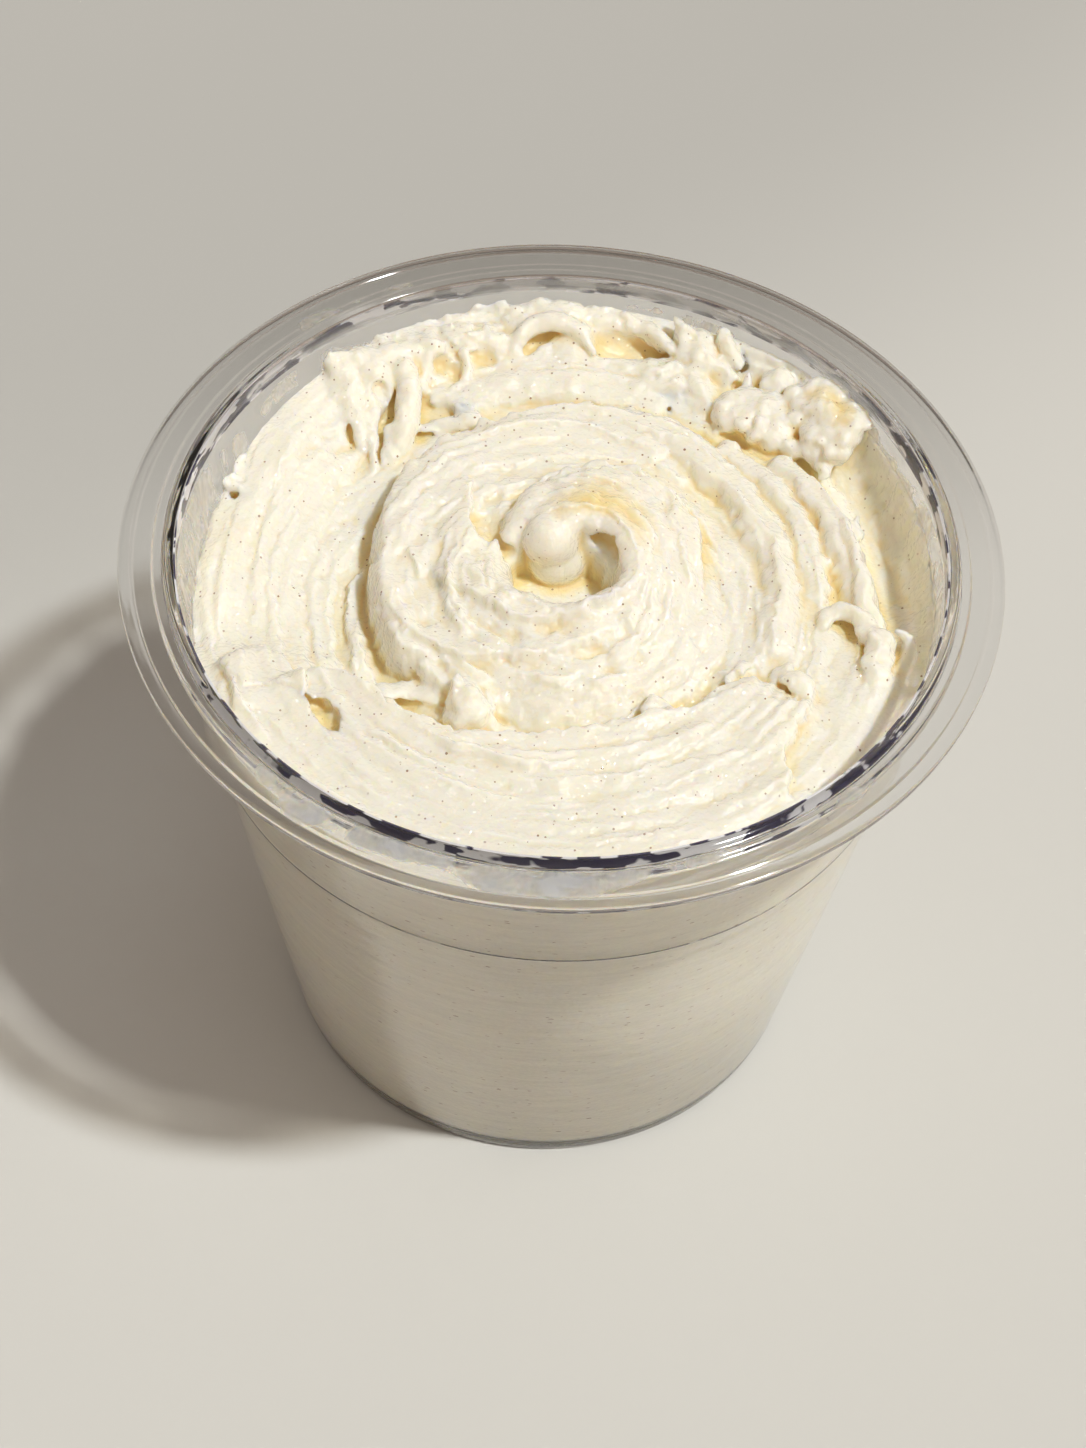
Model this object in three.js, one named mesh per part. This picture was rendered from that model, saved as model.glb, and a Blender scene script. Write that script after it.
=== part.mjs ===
// A clear plastic pint tub with a flanged rim, filled with a deep vanilla swirl.
// Millimetres, +Z up. The origin is the middle of the foot, on the surface it stands on.
// Two solids: the tub is turned in one piece, and the ice cream fills it up to an uneven swirled top.

import * as THREE from "three";
import { mergeVertices } from "three/addons/utils/BufferGeometryUtils.js";

// Driving dimensions of the tub.
const RIM_TOP = 87.5; // crest of the bead round the mouth
const FLANGE_RADIUS = 55.5; // outer edge of the flange
const FLANGE_TOP = 86.6;
const FLANGE_THICKNESS = 1.4;
const STEP_RADIUS = 51.4; // where the flange steps up to the bead's platform
const MOUTH_RADIUS = 48.5; // inner edge of the bead
const LAND_DEPTH = 3.2; // upright land inside the mouth, below the bead
const FOOT_RADIUS = 36.1; // outer wall, extended down to the floor
const WALL_SLOPE = 0.16; // widening of the wall, mm of radius for each mm of height
const WALL_THICKNESS = 1.2;
const STACK_LINE_HEIGHT = 62.4; // fine moulded line round the wall
const STACK_LINE_DEPTH = 0.12;
const FLOOR_TOP = 2.4; // inside of the floor
const INNER_CORNER = 1; // bevel between the floor and the wall, inside
const UNDER_RECESS = 1.0; // the underside is raised this much inside the foot ring
const FOOT_INNER_RADIUS = 30.5;
const CORNER = 1.5; // rounding of the foot's outer edge
const FOOT_BEVEL = 1; // inner edge of the foot ring
const PLATFORM_RISE = 0.4; // the bead's platform stands this much over the flange
const STEP_WIDTH = 0.3; // run of the step up to it
const PLATFORM_INNER = 1.3; // the platform ends this far out from the mouth
const BEAD_OUTER = 0.9; // flat crest of the bead, measured out from the mouth
const BEAD_INNER = 0.3;
const BEAD_CORNER = 0.4;
const LAND_BEVEL = 0.3;
const FLANGE_CORNERS = { underIn: 0.8, underUp: 0.4, topDown: 0.2, topIn: 0.4 }; // bevels of its edge

// How the solids are cut into facets.
const SECTORS = 88; // a multiple of four, so that both solids have their facets at the same angles
const TOP_RINGS = 38;
const GAP = 0.3; // between the ice cream and the tub

// Heights of the ice cream.
const CAVITY_FLOOR = 78; // bottom of the hollow round the knob
const CAVITY_WALL = 3.2; // how far in from the lip the hollow gets to its full depth
const CAVITY_DEPTH = 9;
const LIP_WIDTH = 0.4; // flat top of the lip
const LIP_ROUNDING = 0.25; // drop at its inner edge
const SPATULA_BLEND = 0.5; // how softly one stroke runs into the next
const CURL_FOOT_RADIUS = 12; // where the slope of the curl meets the disc
const CURL_EDGE_FALL = 1.6; // how steeply the curl's flank ends, per mm squared
const DISC_EDGE_FALL = 2.5; // the same for the disc
const DISC_SLOPE_POWER = 1.5;
const DAUB_REACH = 1.8; // how far a daub is felt, in half widths
const RIDGE_END_TAPER = 2; // length over which the end of a ridge sinks, and by how much
const MERGE_DISTANCE = 1e-4;
const SHORTEST_SQUARED = 1e-9; // keeps a daub of one point from dividing by nothing

const DEGREE = Math.PI / 180;

const outerWall = (z) => FOOT_RADIUS + WALL_SLOPE * z;
const innerWall = (z) => outerWall(z) - WALL_THICKNESS;

// A Hermite curve through stations [angle, a, b, ...] in degrees; returns the values at any angle,
// or null outside the stations. A closed curve goes all the way round.
function through(stations, closed) {
  const sorted = [...stations].sort((a, b) => a[0] - b[0]);
  const list = closed
    ? [-360, 0, 360].flatMap((turn) => sorted.map(([angle, ...rest]) => [angle + turn, ...rest]))
    : sorted;
  const last = list.length - 1;
  return (angle) => {
    if (angle < list[0][0] || angle > list[last][0]) return null;
    let i = 0;
    while (i < last - 1 && list[i + 1][0] < angle) i++;
    const before = list[Math.max(i - 1, 0)];
    const from = list[i];
    const to = list[i + 1];
    const after = list[Math.min(i + 2, last)];
    const span = to[0] - from[0];
    const t = (angle - from[0]) / span;
    return from.slice(1).map((value, k) => {
      const slopeIn = ((to[k + 1] - before[k + 1]) / (to[0] - before[0])) * span;
      const slopeOut = ((after[k + 1] - value) / (after[0] - from[0])) * span;
      const t2 = t * t;
      const t3 = t2 * t;
      return (
        (2 * t3 - 3 * t2 + 1) * value +
        (t3 - 2 * t2 + t) * slopeIn +
        (3 * t2 - 2 * t3) * to[k + 1] +
        (t3 - t2) * slopeOut
      );
    });
  };
}

// The higher of two surfaces, run softly into each other; softLower gives the lower one.
function softHigher(a, b, blend) {
  const share = THREE.MathUtils.clamp(0.5 + (0.5 * (a - b)) / blend, 0, 1);
  return b + (a - b) * share + blend * share * (1 - share);
}
const softLower = (a, b, blend) => -softHigher(-a, -b, blend);

// The trough and bank outside the disc: angle, then radius and height of the trough,
// radius and height of the bank, and the level at which the ice cream meets the wall.
const surround = through(
  [
    [-168, 27.5, 73.4, 43.5, 75.8, 73.4],
    [-158, 27, 73.8, 42.5, 78.2, 76.5],
    [-145, 29, 73.8, 41, 78.8, 78],
    [-120, 26, 75, 40, 79, 78.5],
    [-90, 24.5, 75.8, 40, 79, 78.5],
    [-60, 26, 76, 40, 78.8, 78.2],
    [-35, 30, 77.6, 42, 79, 77.5],
    [-12, 31, 78.8, 42, 78, 78.4],
    [5, 31, 79, 42.5, 74.8, 79.8],
    [25, 31, 79, 42.5, 75.6, 81.4],
    [45, 31, 78.5, 42, 78.2, 82.6],
    [65, 32, 77.8, 43, 80.5, 82.2],
    [90, 32, 77.8, 43, 81, 82],
    [115, 34, 77, 45, 81, 81.5],
    [133, 37, 75.8, 46.5, 80.5, 80.5],
    [148, 32, 74.4, 44.5, 79.5, 78.5],
    [165, 28.5, 73.8, 43.7, 77.7, 76.2],
    [180, 27.5, 73.4, 43.5, 76.6, 74.5],
  ],
  true,
);

// The raised disc of the swirl: angle, radius and height of its margin, height at the curl's foot.
const disc = through(
  [
    [-160, 22, 78.4, 80.2],
    [-135, 21, 77.8, 80.3],
    [-112, 20, 76.8, 80.3],
    [-90, 21.5, 76.4, 80.4],
    [-45, 23.5, 76.6, 80.6],
    [-20, 24.5, 76.6, 81.4],
    [0, 24, 76.6, 82],
    [20, 24, 77, 81.8],
    [42, 25.5, 78.2, 81.2],
    [60, 28, 79.4, 80.6],
    [90, 28.5, 80.8, 80],
    [135, 26, 79.6, 80.2],
    [180, 22.5, 78.8, 80.3],
  ],
  true,
);

// The curl in the middle: its flank ends in a ragged margin, its lip closes round the hollow.
const curlMargin = through(
  [
    [-157, 12.5, 80.6],
    [-124, 11, 80.6],
    [-90, 11, 80.6],
    [-56, 12, 80.6],
    [-24, 14.5, 80.8],
    [6, 17, 81.2],
    [38, 19, 82],
    [65, 18, 83],
    [90, 16, 82.6],
    [118, 13, 81.6],
    [146, 10.5, 80.5],
    [177, 12, 80.3],
  ],
  true,
);
const curlLip = through(
  [
    [-161, 7.5, 81.3],
    [-140, 6.5, 82],
    [-90, 6.5, 82.5],
    [-58, 7.5, 83],
    [-23, 8.5, 83.5],
    [2, 9.5, 84.2],
    [27, 9.5, 84.6],
    [53, 9.5, 84.8],
    [77, 8.5, 84.8],
    [100, 8.5, 84],
    [123, 9, 82.5],
    [148, 9.5, 80.2],
    [172, 8.5, 80.8],
  ],
  true,
);

// Ridges that the spatula left, as stations of angle, radius and crest height, and how far the
// crest falls (drop) over which width, on the side of the middle and on the side of the wall.
const RIDGES = [
  {
    what: "disc edge",
    line: [
      [-301, 30.5, 80.5],
      [-278, 30, 81],
      [-247, 28, 80.8],
      [-217, 26.5, 80.2],
      [-186, 23, 80],
      [-154, 22, 79],
      [-127, 20, 77.5],
    ],
    inner: { width: 9, drop: 0.7 },
    outer: { width: 1.1, drop: 3 },
  },
  {
    what: "right ridge",
    line: [
      [-22, 27.5, 79],
      [-12, 28, 80],
      [14, 27.5, 80.8],
      [45, 28, 81.3],
      [71, 29.5, 80.9],
      [86, 29.5, 80],
    ],
    inner: { width: 2.8, drop: 2.8 },
    outer: { width: 3, drop: 1.4 },
  },
  {
    what: "second ridge",
    line: [
      [-2, 33, 79.5],
      [19, 33.5, 80.2],
      [42, 33.5, 80],
      [54, 33.5, 79.8],
    ],
    inner: { width: 2.5, drop: 0.8 },
    outer: { width: 1.2, drop: 1.2 },
  },
  {
    what: "outer ridge",
    line: [
      [-7, 41.5, 79],
      [4, 39, 80.5],
      [25, 37.5, 80.8],
      [43, 36.5, 80],
    ],
    inner: { width: 2.2, drop: 1.3 },
    outer: { width: 1.6, drop: 2 },
  },
  {
    what: "torn edge of the front bank",
    line: [
      [-154, 35, 79],
      [-149.5, 32.3, 79.4],
      [-136, 29, 79.6],
      [-126, 29, 79.8],
      [-115, 27.5, 80],
      [-90, 24.8, 80],
      [-64, 24.3, 80.1],
      [-48, 25.7, 80],
      [-34, 26.8, 79.8],
      [-26, 30, 79.4],
    ],
    inner: { width: 1.3, drop: 2.6 },
    outer: { width: 12, drop: 1 },
  },
  {
    what: "band behind the disc",
    line: [
      [67, 35.5, 78.8],
      [90, 39, 80],
      [118, 40, 78.8],
    ],
    inner: { width: 5, drop: 1.2 },
    outer: { width: 1.5, drop: 1.5 },
  },
].map((ridge) => ({ ...ridge, at: through(ridge.line, false), ends: lineEnds(ridge.line) }));

// Daubs laid on the surface, as x, y, top and half width at points of their middle line; the dome is
// how far they fall at one half width.
const DAUBS = [
  {
    what: "flap's top",
    dome: 1.5,
    line: [[-33, 36.5, 82.5, 1.6], [-24, 38, 82.4, 2.5], [-12, 42.5, 82.2, 2.2]],
  },
  {
    what: "flap's left sheet",
    dome: 1.8,
    line: [[-29.8, 34, 81.8, 2.4], [-29, 27.5, 78.6, 2.2], [-28, 24, 76.6, 1.4]],
  },
  { what: "flap's middle", dome: 1.5, line: [[-26, 33.5, 81.4, 2.2], [-26.4, 27.5, 78.4, 1.8]] },
  {
    what: "flap's column",
    dome: 1.4,
    line: [[-22.5, 34.5, 82, 1.7], [-21.8, 27, 79.6, 1.8], [-22.8, 20, 76.6, 1]],
  },
  { what: "wall between the eyes", dome: 1.2, line: [[-14.8, 38.5, 82, 1], [-14.4, 35, 80.6, 0.9]] },
  {
    what: "mass behind the disc",
    dome: 1,
    line: [[-12, 31.5, 79.6, 2.2], [0, 33.5, 80.4, 2.6], [7, 32, 79.8, 2]],
  },
  {
    what: "sheet along the back wall",
    dome: 2,
    line: [[-12, 43.5, 82.4, 2.2], [0, 46, 83.2, 2], [11, 43.6, 82.4, 1.8]],
  },
  {
    what: "arch of the small curl",
    dome: 1.4,
    line: [[-7.6, 41, 82, 1], [-3.2, 44, 84.2, 1.5], [2.2, 40.5, 82.6, 1]],
  },
  { what: "first spike", dome: 1.6, line: [[13.8, 44.5, 84.4, 1], [15.4, 40.5, 83, 1.8]] },
  { what: "second spike", dome: 1.6, line: [[20.4, 42.2, 84.4, 1.2], [21.5, 39, 82.8, 1.3]] },
  {
    what: "crag",
    dome: 1.8,
    line: [[17.6, 41.5, 83.2, 2], [16.2, 35, 81.6, 2.6], [17.6, 30.5, 79.4, 1.8]],
  },
  { what: "arm of the crag", dome: 1.2, line: [[13, 36, 81.4, 1.8], [7, 36.5, 80, 1.2]] },
  {
    what: "first crumb",
    dome: 1.8,
    line: [[22.5, 30.5, 82.6, 2.6], [26.6, 28.5, 82.4, 3], [29, 24.5, 80.8, 1.8]],
  },
  { what: "big crumb", dome: 2, line: [[34, 33, 84.8, 2.6], [36, 29.5, 84.6, 3], [33, 25, 82.6, 2.4]] },
  { what: "crumb between", dome: 1.6, line: [[27, 35.5, 82.6, 1.8], [29, 34, 82.8, 1.8]] },
  { what: "stem of the big crumb", dome: 1.4, line: [[33, 23.6, 81.4, 1.6], [33.8, 21, 80.4, 1]] },
  { what: "crag on the left bank", dome: 1.6, line: [[-43, 17, 79, 1.4], [-43.4, 13.5, 78.4, 1.1]] },
  { what: "peak of the front bank", dome: 1.4, line: [[-10.8, -17.6, 80.4, 1.3], [-9.6, -22, 79.8, 2.8]] },
  {
    what: "torn lips in the groove",
    dome: 1.2,
    line: [[26, -3.5, 79.2, 0.9], [25.5, -11, 79.4, 1.2], [22, -15.5, 79.4, 1.3]],
  },
  { what: "hooked tip", dome: 1.2, line: [[28.6, -12.6, 80.2, 1.1], [31, -15.2, 80.6, 1.5]] },
  {
    what: "scoop's lip",
    dome: 1.2,
    line: [[33.8, -4, 80.4, 1.2], [37.6, -3.2, 81, 1.8], [39.4, -5.4, 80.9, 1.6]],
  },
  {
    what: "scoop's right side",
    dome: 1.3,
    line: [[40.4, -7, 81.1, 1.8], [39.8, -12, 80.4, 1.9], [38.4, -17, 79.4, 1.9]],
  },
  { what: "flake at the wall", dome: 1.6, line: [[42.6, -6.5, 80.9, 1], [43, -10.5, 79.6, 1.1]] },
];

// Hollows sunk into it, given in the same way by their bottom.
const HOLLOWS = [
  {
    what: "hole in the front bank",
    dome: 1.6,
    line: [[-29.4, -21.4, 77.8, 0.9], [-26.3, -24.6, 77.3, 1.2]],
  },
  { what: "slot in the flap", dome: 1.6, line: [[-24.9, 29.4, 77.4, 0.9], [-24.9, 25.4, 76.2, 0.8]] },
  { what: "first eye", dome: 1.6, line: [[-17.4, 36.6, 79.2, 1.6], [-16, 35.4, 78.8, 1.4]] },
  { what: "mouth of the small curl", dome: 1.6, line: [[-6.2, 40.6, 79.6, 1.2], [-4.2, 42.6, 79.6, 1.3]] },
  {
    what: "hollow against the back wall",
    dome: 1.6,
    line: [[4.6, 41.8, 79, 2.2], [11.8, 41.2, 78.8, 1.8]],
  },
  { what: "wedge behind the disc", dome: 1.6, line: [[12, 32, 76.4, 1], [14.5, 31.5, 75.6, 1]] },
  { what: "notch in the left crag", dome: 1.6, line: [[-43, 10.5, 75, 1.2]] },
  { what: "floor of the scoop", dome: 0.9, line: [[35.2, -8, 78.3, 1.9], [34.8, -14, 78.3, 1.8]] },
  { what: "undercut of the first crumb", dome: 1.6, line: [[21.5, 27, 77.2, 1.2], [27.6, 23, 77.4, 0.9]] },
];

// The knob at the tip of the curl, and the folds below it: ellipsoids by x, y, top, radius, height.
const KNOB = [
  [-1.6, 6.6, 84.4, 3.7, 4],
  [-0.7, 3, 81.4, 4, 4],
  [3, 1.6, 79.6, 1.2, 1.2],
];

function lineEnds(line) {
  const angles = line.map((station) => station[0]);
  return [Math.min(...angles), Math.max(...angles)];
}

// Height of one ridge at a place given by its angle and radius, or null beyond its ends.
function ridgeHeight(ridge, angle, radius) {
  let highest = null;
  for (const turned of [angle - 360, angle, angle + 360]) {
    const station = ridge.at(turned);
    if (station === null) continue;
    const [crestRadius, crest] = station;
    const across = radius - crestRadius;
    const side = across < 0 ? ridge.inner : ridge.outer;
    const toEnd = Math.min(turned - ridge.ends[0], ridge.ends[1] - turned) * DEGREE * crestRadius;
    const taper = RIDGE_END_TAPER * Math.max(0, 1 - toEnd / RIDGE_END_TAPER) ** 2;
    const height = crest - side.drop * (across / side.width) ** 2 - taper;
    highest = highest === null ? height : Math.max(highest, height);
  }
  return highest;
}

// Height of a daub (sign 1) or of a hollow (sign -1) at x, y, or null away from it.
function daubHeight(daub, x, y, sign) {
  const { line } = daub;
  let best = null;
  for (let i = 0; i < Math.max(1, line.length - 1); i++) {
    const [ax, ay, az, aw] = line[i];
    const [bx, by, bz, bw] = line[Math.min(i + 1, line.length - 1)];
    const length2 = Math.max((bx - ax) ** 2 + (by - ay) ** 2, SHORTEST_SQUARED);
    const t = THREE.MathUtils.clamp(((x - ax) * (bx - ax) + (y - ay) * (by - ay)) / length2, 0, 1);
    const width = aw + (bw - aw) * t;
    const off = Math.hypot(x - ax - t * (bx - ax), y - ay - t * (by - ay)) / width;
    if (off > DAUB_REACH) continue;
    const height = az + (bz - az) * t - sign * daub.dome * off * off;
    if (best === null || sign * height > sign * best) best = height;
  }
  return best;
}

// Height of the ice cream at x, y.
function creamHeight(x, y) {
  const radius = Math.hypot(x, y);
  const angle = Math.atan2(y, x) / DEGREE;

  const [troughRadius, trough, bankRadius, bank, wallLevel] = surround(angle);
  const rise = THREE.MathUtils.smoothstep(radius, troughRadius, bankRadius);
  const toWall = THREE.MathUtils.clamp((radius - bankRadius) / (innerWall(wallLevel) - bankRadius), 0, 1);
  let height = trough + (bank - trough) * rise + (wallLevel - bank) * toWall ** 2;

  const [discRadius, discMargin, discFoot] = disc(angle);
  const out = THREE.MathUtils.clamp((radius - CURL_FOOT_RADIUS) / (discRadius - CURL_FOOT_RADIUS), 0, 1);
  const edgeFall = DISC_EDGE_FALL * Math.max(0, radius - discRadius) ** 2;
  const discTop = discFoot + (discMargin - discFoot) * out ** DISC_SLOPE_POWER;
  height = softHigher(height, discTop - edgeFall, SPATULA_BLEND);

  for (const ridge of RIDGES) {
    const crest = ridgeHeight(ridge, angle, radius);
    if (crest !== null) height = softHigher(height, crest, SPATULA_BLEND);
  }
  for (const daub of DAUBS) {
    const top = daubHeight(daub, x, y, 1);
    if (top !== null) height = softHigher(height, top, SPATULA_BLEND);
  }
  for (const hollow of HOLLOWS) {
    const bottom = daubHeight(hollow, x, y, -1);
    if (bottom !== null) height = softLower(height, bottom, SPATULA_BLEND);
  }
  return curlHeight(height, x, y, radius, angle);
}

// The curl on top of that surface: flank, lip, hollow and knob.
function curlHeight(surface, x, y, radius, angle) {
  const [marginRadius, margin] = curlMargin(angle);
  const [lipRadius, lip] = curlLip(angle);
  const down = Math.max(0, (radius - lipRadius) / Math.max(marginRadius - lipRadius, 1));
  const beyond = CURL_EDGE_FALL * Math.max(0, radius - marginRadius) ** 2;
  let height = softHigher(surface, lip + (margin - lip) * down - beyond, SPATULA_BLEND);
  if (radius < lipRadius) {
    const inward = THREE.MathUtils.clamp((lipRadius - radius - LIP_WIDTH) / CAVITY_WALL, 0, 1);
    height = Math.min(height, Math.max(lip - LIP_ROUNDING - CAVITY_DEPTH * inward, CAVITY_FLOOR));
  }
  for (const [kx, ky, top, ballRadius, ballHeight] of KNOB) {
    const off2 = ((x - kx) ** 2 + (y - ky) ** 2) / ballRadius ** 2;
    if (off2 < 1) {
      const ball = top - ballHeight + ballHeight * Math.sqrt(1 - off2);
      height = softHigher(height, ball, SPATULA_BLEND);
    }
  }
  return height;
}

// The ice cream: a faceted top in rings about the swirl, a straight tapered side and a flat bottom.
function iceCreamGeometry() {
  const positions = [];
  const index = [];
  const bodyRadius = (z) => innerWall(z) - GAP;
  const addPoint = (x, y, z) => positions.push(x, y, z) / 3 - 1;

  const centre = addPoint(0, 0, creamHeight(0, 0));
  const rings = [];
  for (let ring = 1; ring <= TOP_RINGS; ring++) {
    const points = [];
    for (let sector = 0; sector < SECTORS; sector++) {
      const angle = (sector / SECTORS) * 360;
      const wrapped = angle > 180 ? angle - 360 : angle;
      const wallLevel = surround(wrapped)[4];
      const radius = (bodyRadius(wallLevel) * ring) / TOP_RINGS;
      const x = radius * Math.cos(angle * DEGREE);
      const y = radius * Math.sin(angle * DEGREE);
      const z = ring === TOP_RINGS ? wallLevel : creamHeight(x, y);
      points.push(addPoint(x, y, z));
    }
    rings.push(points);
  }
  const bottomLevel = FLOOR_TOP + GAP;
  const bevelLevel = bottomLevel + INNER_CORNER;
  const bottomRadius = bodyRadius(bottomLevel) - INNER_CORNER;
  for (const [radius, level] of [[bodyRadius(bevelLevel), bevelLevel], [bottomRadius, bottomLevel]]) {
    const points = [];
    for (let sector = 0; sector < SECTORS; sector++) {
      const angle = (sector / SECTORS) * 2 * Math.PI;
      points.push(addPoint(radius * Math.cos(angle), radius * Math.sin(angle), level));
    }
    rings.push(points);
  }
  const bottomRing = rings[rings.length - 1];
  const bottomCentre = addPoint(0, 0, bottomLevel);

  for (let sector = 0; sector < SECTORS; sector++) {
    const next = (sector + 1) % SECTORS;
    index.push(centre, rings[0][sector], rings[0][next]);
    for (let ring = 0; ring < rings.length - 1; ring++) {
      const inner = rings[ring];
      const outer = rings[ring + 1];
      index.push(inner[sector], outer[sector], outer[next]);
      index.push(inner[sector], outer[next], inner[next]);
    }
    index.push(bottomCentre, bottomRing[next], bottomRing[sector]);
  }
  const geometry = new THREE.BufferGeometry();
  geometry.setAttribute("position", new THREE.Float32BufferAttribute(positions, 3));
  geometry.setIndex(index);
  return mergeVertices(geometry, MERGE_DISTANCE);
}

// The tub's half section, from the axis under the floor, up the outside, over the rim and down inside.
function tubSection() {
  const under = FLANGE_TOP - FLANGE_THICKNESS;
  const lineRadius = outerWall(STACK_LINE_HEIGHT);
  const landFoot = RIM_TOP - LAND_DEPTH;
  return [
    [0, UNDER_RECESS],
    [FOOT_INNER_RADIUS, UNDER_RECESS],
    [FOOT_INNER_RADIUS + FOOT_BEVEL, 0],
    [FOOT_RADIUS - CORNER, 0],
    [FOOT_RADIUS - 0.3 * CORNER, 0.3 * CORNER],
    [outerWall(CORNER), CORNER],
    [lineRadius, STACK_LINE_HEIGHT - STACK_LINE_DEPTH],
    [lineRadius + STACK_LINE_DEPTH, STACK_LINE_HEIGHT],
    [outerWall(under), under],
    [FLANGE_RADIUS - FLANGE_CORNERS.underIn, under],
    [FLANGE_RADIUS, under + FLANGE_CORNERS.underUp],
    [FLANGE_RADIUS, FLANGE_TOP - FLANGE_CORNERS.topDown],
    [FLANGE_RADIUS - FLANGE_CORNERS.topIn, FLANGE_TOP],
    [STEP_RADIUS, FLANGE_TOP],
    [STEP_RADIUS - STEP_WIDTH, FLANGE_TOP + PLATFORM_RISE],
    [MOUTH_RADIUS + PLATFORM_INNER, FLANGE_TOP + PLATFORM_RISE],
    [MOUTH_RADIUS + BEAD_OUTER, RIM_TOP],
    [MOUTH_RADIUS + BEAD_INNER, RIM_TOP],
    [MOUTH_RADIUS, RIM_TOP - BEAD_CORNER],
    [MOUTH_RADIUS, landFoot],
    [innerWall(landFoot - LAND_BEVEL), landFoot - LAND_BEVEL],
    [innerWall(FLOOR_TOP + INNER_CORNER), FLOOR_TOP + INNER_CORNER],
    [innerWall(FLOOR_TOP) - INNER_CORNER, FLOOR_TOP],
    [0, FLOOR_TOP],
  ].map(([radius, height]) => new THREE.Vector2(radius, height));
}

function tubGeometry() {
  const lathe = new THREE.LatheGeometry(tubSection(), SECTORS);
  lathe.rotateX(Math.PI / 2); // the section is turned about Y; the tub stands along Z
  lathe.deleteAttribute("normal");
  lathe.deleteAttribute("uv");
  return mergeVertices(lathe, MERGE_DISTANCE);
}

const clearPlastic = new THREE.MeshStandardMaterial({
  color: 0xe4e6ea,
  roughness: 0.08,
  metalness: 0,
  transparent: true,
  opacity: 0.35,
});
const vanilla = new THREE.MeshStandardMaterial({ color: 0xf8f0da, roughness: 0.45, metalness: 0 });

const tub = new THREE.Mesh(tubGeometry(), clearPlastic);
tub.name = "tub";

const iceCream = new THREE.Mesh(iceCreamGeometry(), vanilla);
iceCream.name = "ice_cream";

const group = new THREE.Group();
group.add(tub, iceCream);

export default group;
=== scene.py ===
"""A clear pint tub filled with a deep vanilla swirl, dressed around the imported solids.

Laid out as a Blender add-on and run as a script. Strokes and sections are in millimetres;
properties with a length unit are in metres, as Blender's own are.
"""

import math

import bpy
import numpy as np
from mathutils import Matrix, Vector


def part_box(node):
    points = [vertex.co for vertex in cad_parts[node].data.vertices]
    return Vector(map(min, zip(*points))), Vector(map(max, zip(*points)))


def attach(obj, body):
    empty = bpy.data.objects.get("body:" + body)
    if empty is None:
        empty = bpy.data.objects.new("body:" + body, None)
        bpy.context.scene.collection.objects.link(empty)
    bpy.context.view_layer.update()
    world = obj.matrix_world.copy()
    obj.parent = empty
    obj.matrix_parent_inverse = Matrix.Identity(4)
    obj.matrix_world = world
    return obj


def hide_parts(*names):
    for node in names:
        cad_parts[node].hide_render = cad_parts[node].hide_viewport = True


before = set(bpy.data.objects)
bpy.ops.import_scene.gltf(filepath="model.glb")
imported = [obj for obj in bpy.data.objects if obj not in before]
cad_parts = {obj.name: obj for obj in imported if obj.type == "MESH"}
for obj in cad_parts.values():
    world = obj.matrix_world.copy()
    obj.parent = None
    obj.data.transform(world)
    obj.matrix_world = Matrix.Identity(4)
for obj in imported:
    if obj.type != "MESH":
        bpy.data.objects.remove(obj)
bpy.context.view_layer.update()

import openvdb
from mathutils import Matrix, Vector

bl_info = {
    "name": "Ice cream tub",
    "version": (1, 0, 0),
    "blender": (4, 5, 0),
    "location": "3D View > Sidebar > Tub",
    "description": "Builds a clear pint tub, its vanilla swirl and a plain studio",
    "category": "Object",
}

TUB_LOW, TUB_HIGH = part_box("tub")
MM = 0.001
BODY = "root"


# ---------------------------------------------------------------------------------------------
# Settings


class TubSettings(bpy.types.PropertyGroup):
    """Sizes and colours of the moulded tub."""

    rim_height: bpy.props.FloatProperty(
        name="Rim height", description="Crest of the bead round the mouth",
        default=TUB_HIGH.z, unit="LENGTH")
    flange_radius: bpy.props.FloatProperty(
        name="Flange radius", description="Outer edge of the flange",
        default=TUB_HIGH.x, unit="LENGTH")
    foot_radius: bpy.props.FloatProperty(
        name="Foot radius", description="Outer wall, extended down to the floor",
        default=0.0361, unit="LENGTH")
    wall_slope: bpy.props.FloatProperty(
        name="Wall slope", description="Widening of the wall for each unit of height",
        default=0.16)
    wall_thickness: bpy.props.FloatProperty(
        name="Wall thickness", description="Thickness of the tapered wall",
        default=0.0012, unit="LENGTH")
    sides: bpy.props.IntProperty(
        name="Sides", description="Number of sides of the turned shell",
        default=240, min=24)
    tint: bpy.props.FloatVectorProperty(
        name="Plastic tint", description="What the clear wall lets through",
        default=(0.975, 0.965, 0.955), size=3, subtype="COLOR")
    rim_tint: bpy.props.FloatVectorProperty(
        name="Flange tint", description="What the flange lets through to the eye",
        default=(0.93, 0.93, 0.93), size=3, subtype="COLOR")
    # painted shade: the flange is made darker on the side away from the camera
    rim_far_painted_shade: bpy.props.FloatVectorProperty(
        name="Flange tint, far side", description="The same on the side away from the camera",
        default=(0.6, 0.59, 0.575), size=3, subtype="COLOR")
    rim_shade: bpy.props.FloatVectorProperty(
        name="Flange shade", description="What each face of the flange lets through of the key light",
        default=(0.6, 0.58, 0.55), size=3, subtype="COLOR")
    band: bpy.props.FloatVectorProperty(
        name="Band colour", description="Dark ring inside the rim",
        default=(0.045, 0.041, 0.085), size=3, subtype="COLOR")

    # painted shade: dark lines where the thick moulded edges turn light away
    edge: bpy.props.FloatVectorProperty(
        name="Edge colour", description="Thin dark lines round the wall and the foot",
        default=(0.12, 0.11, 0.11), size=3, subtype="COLOR")


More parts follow.
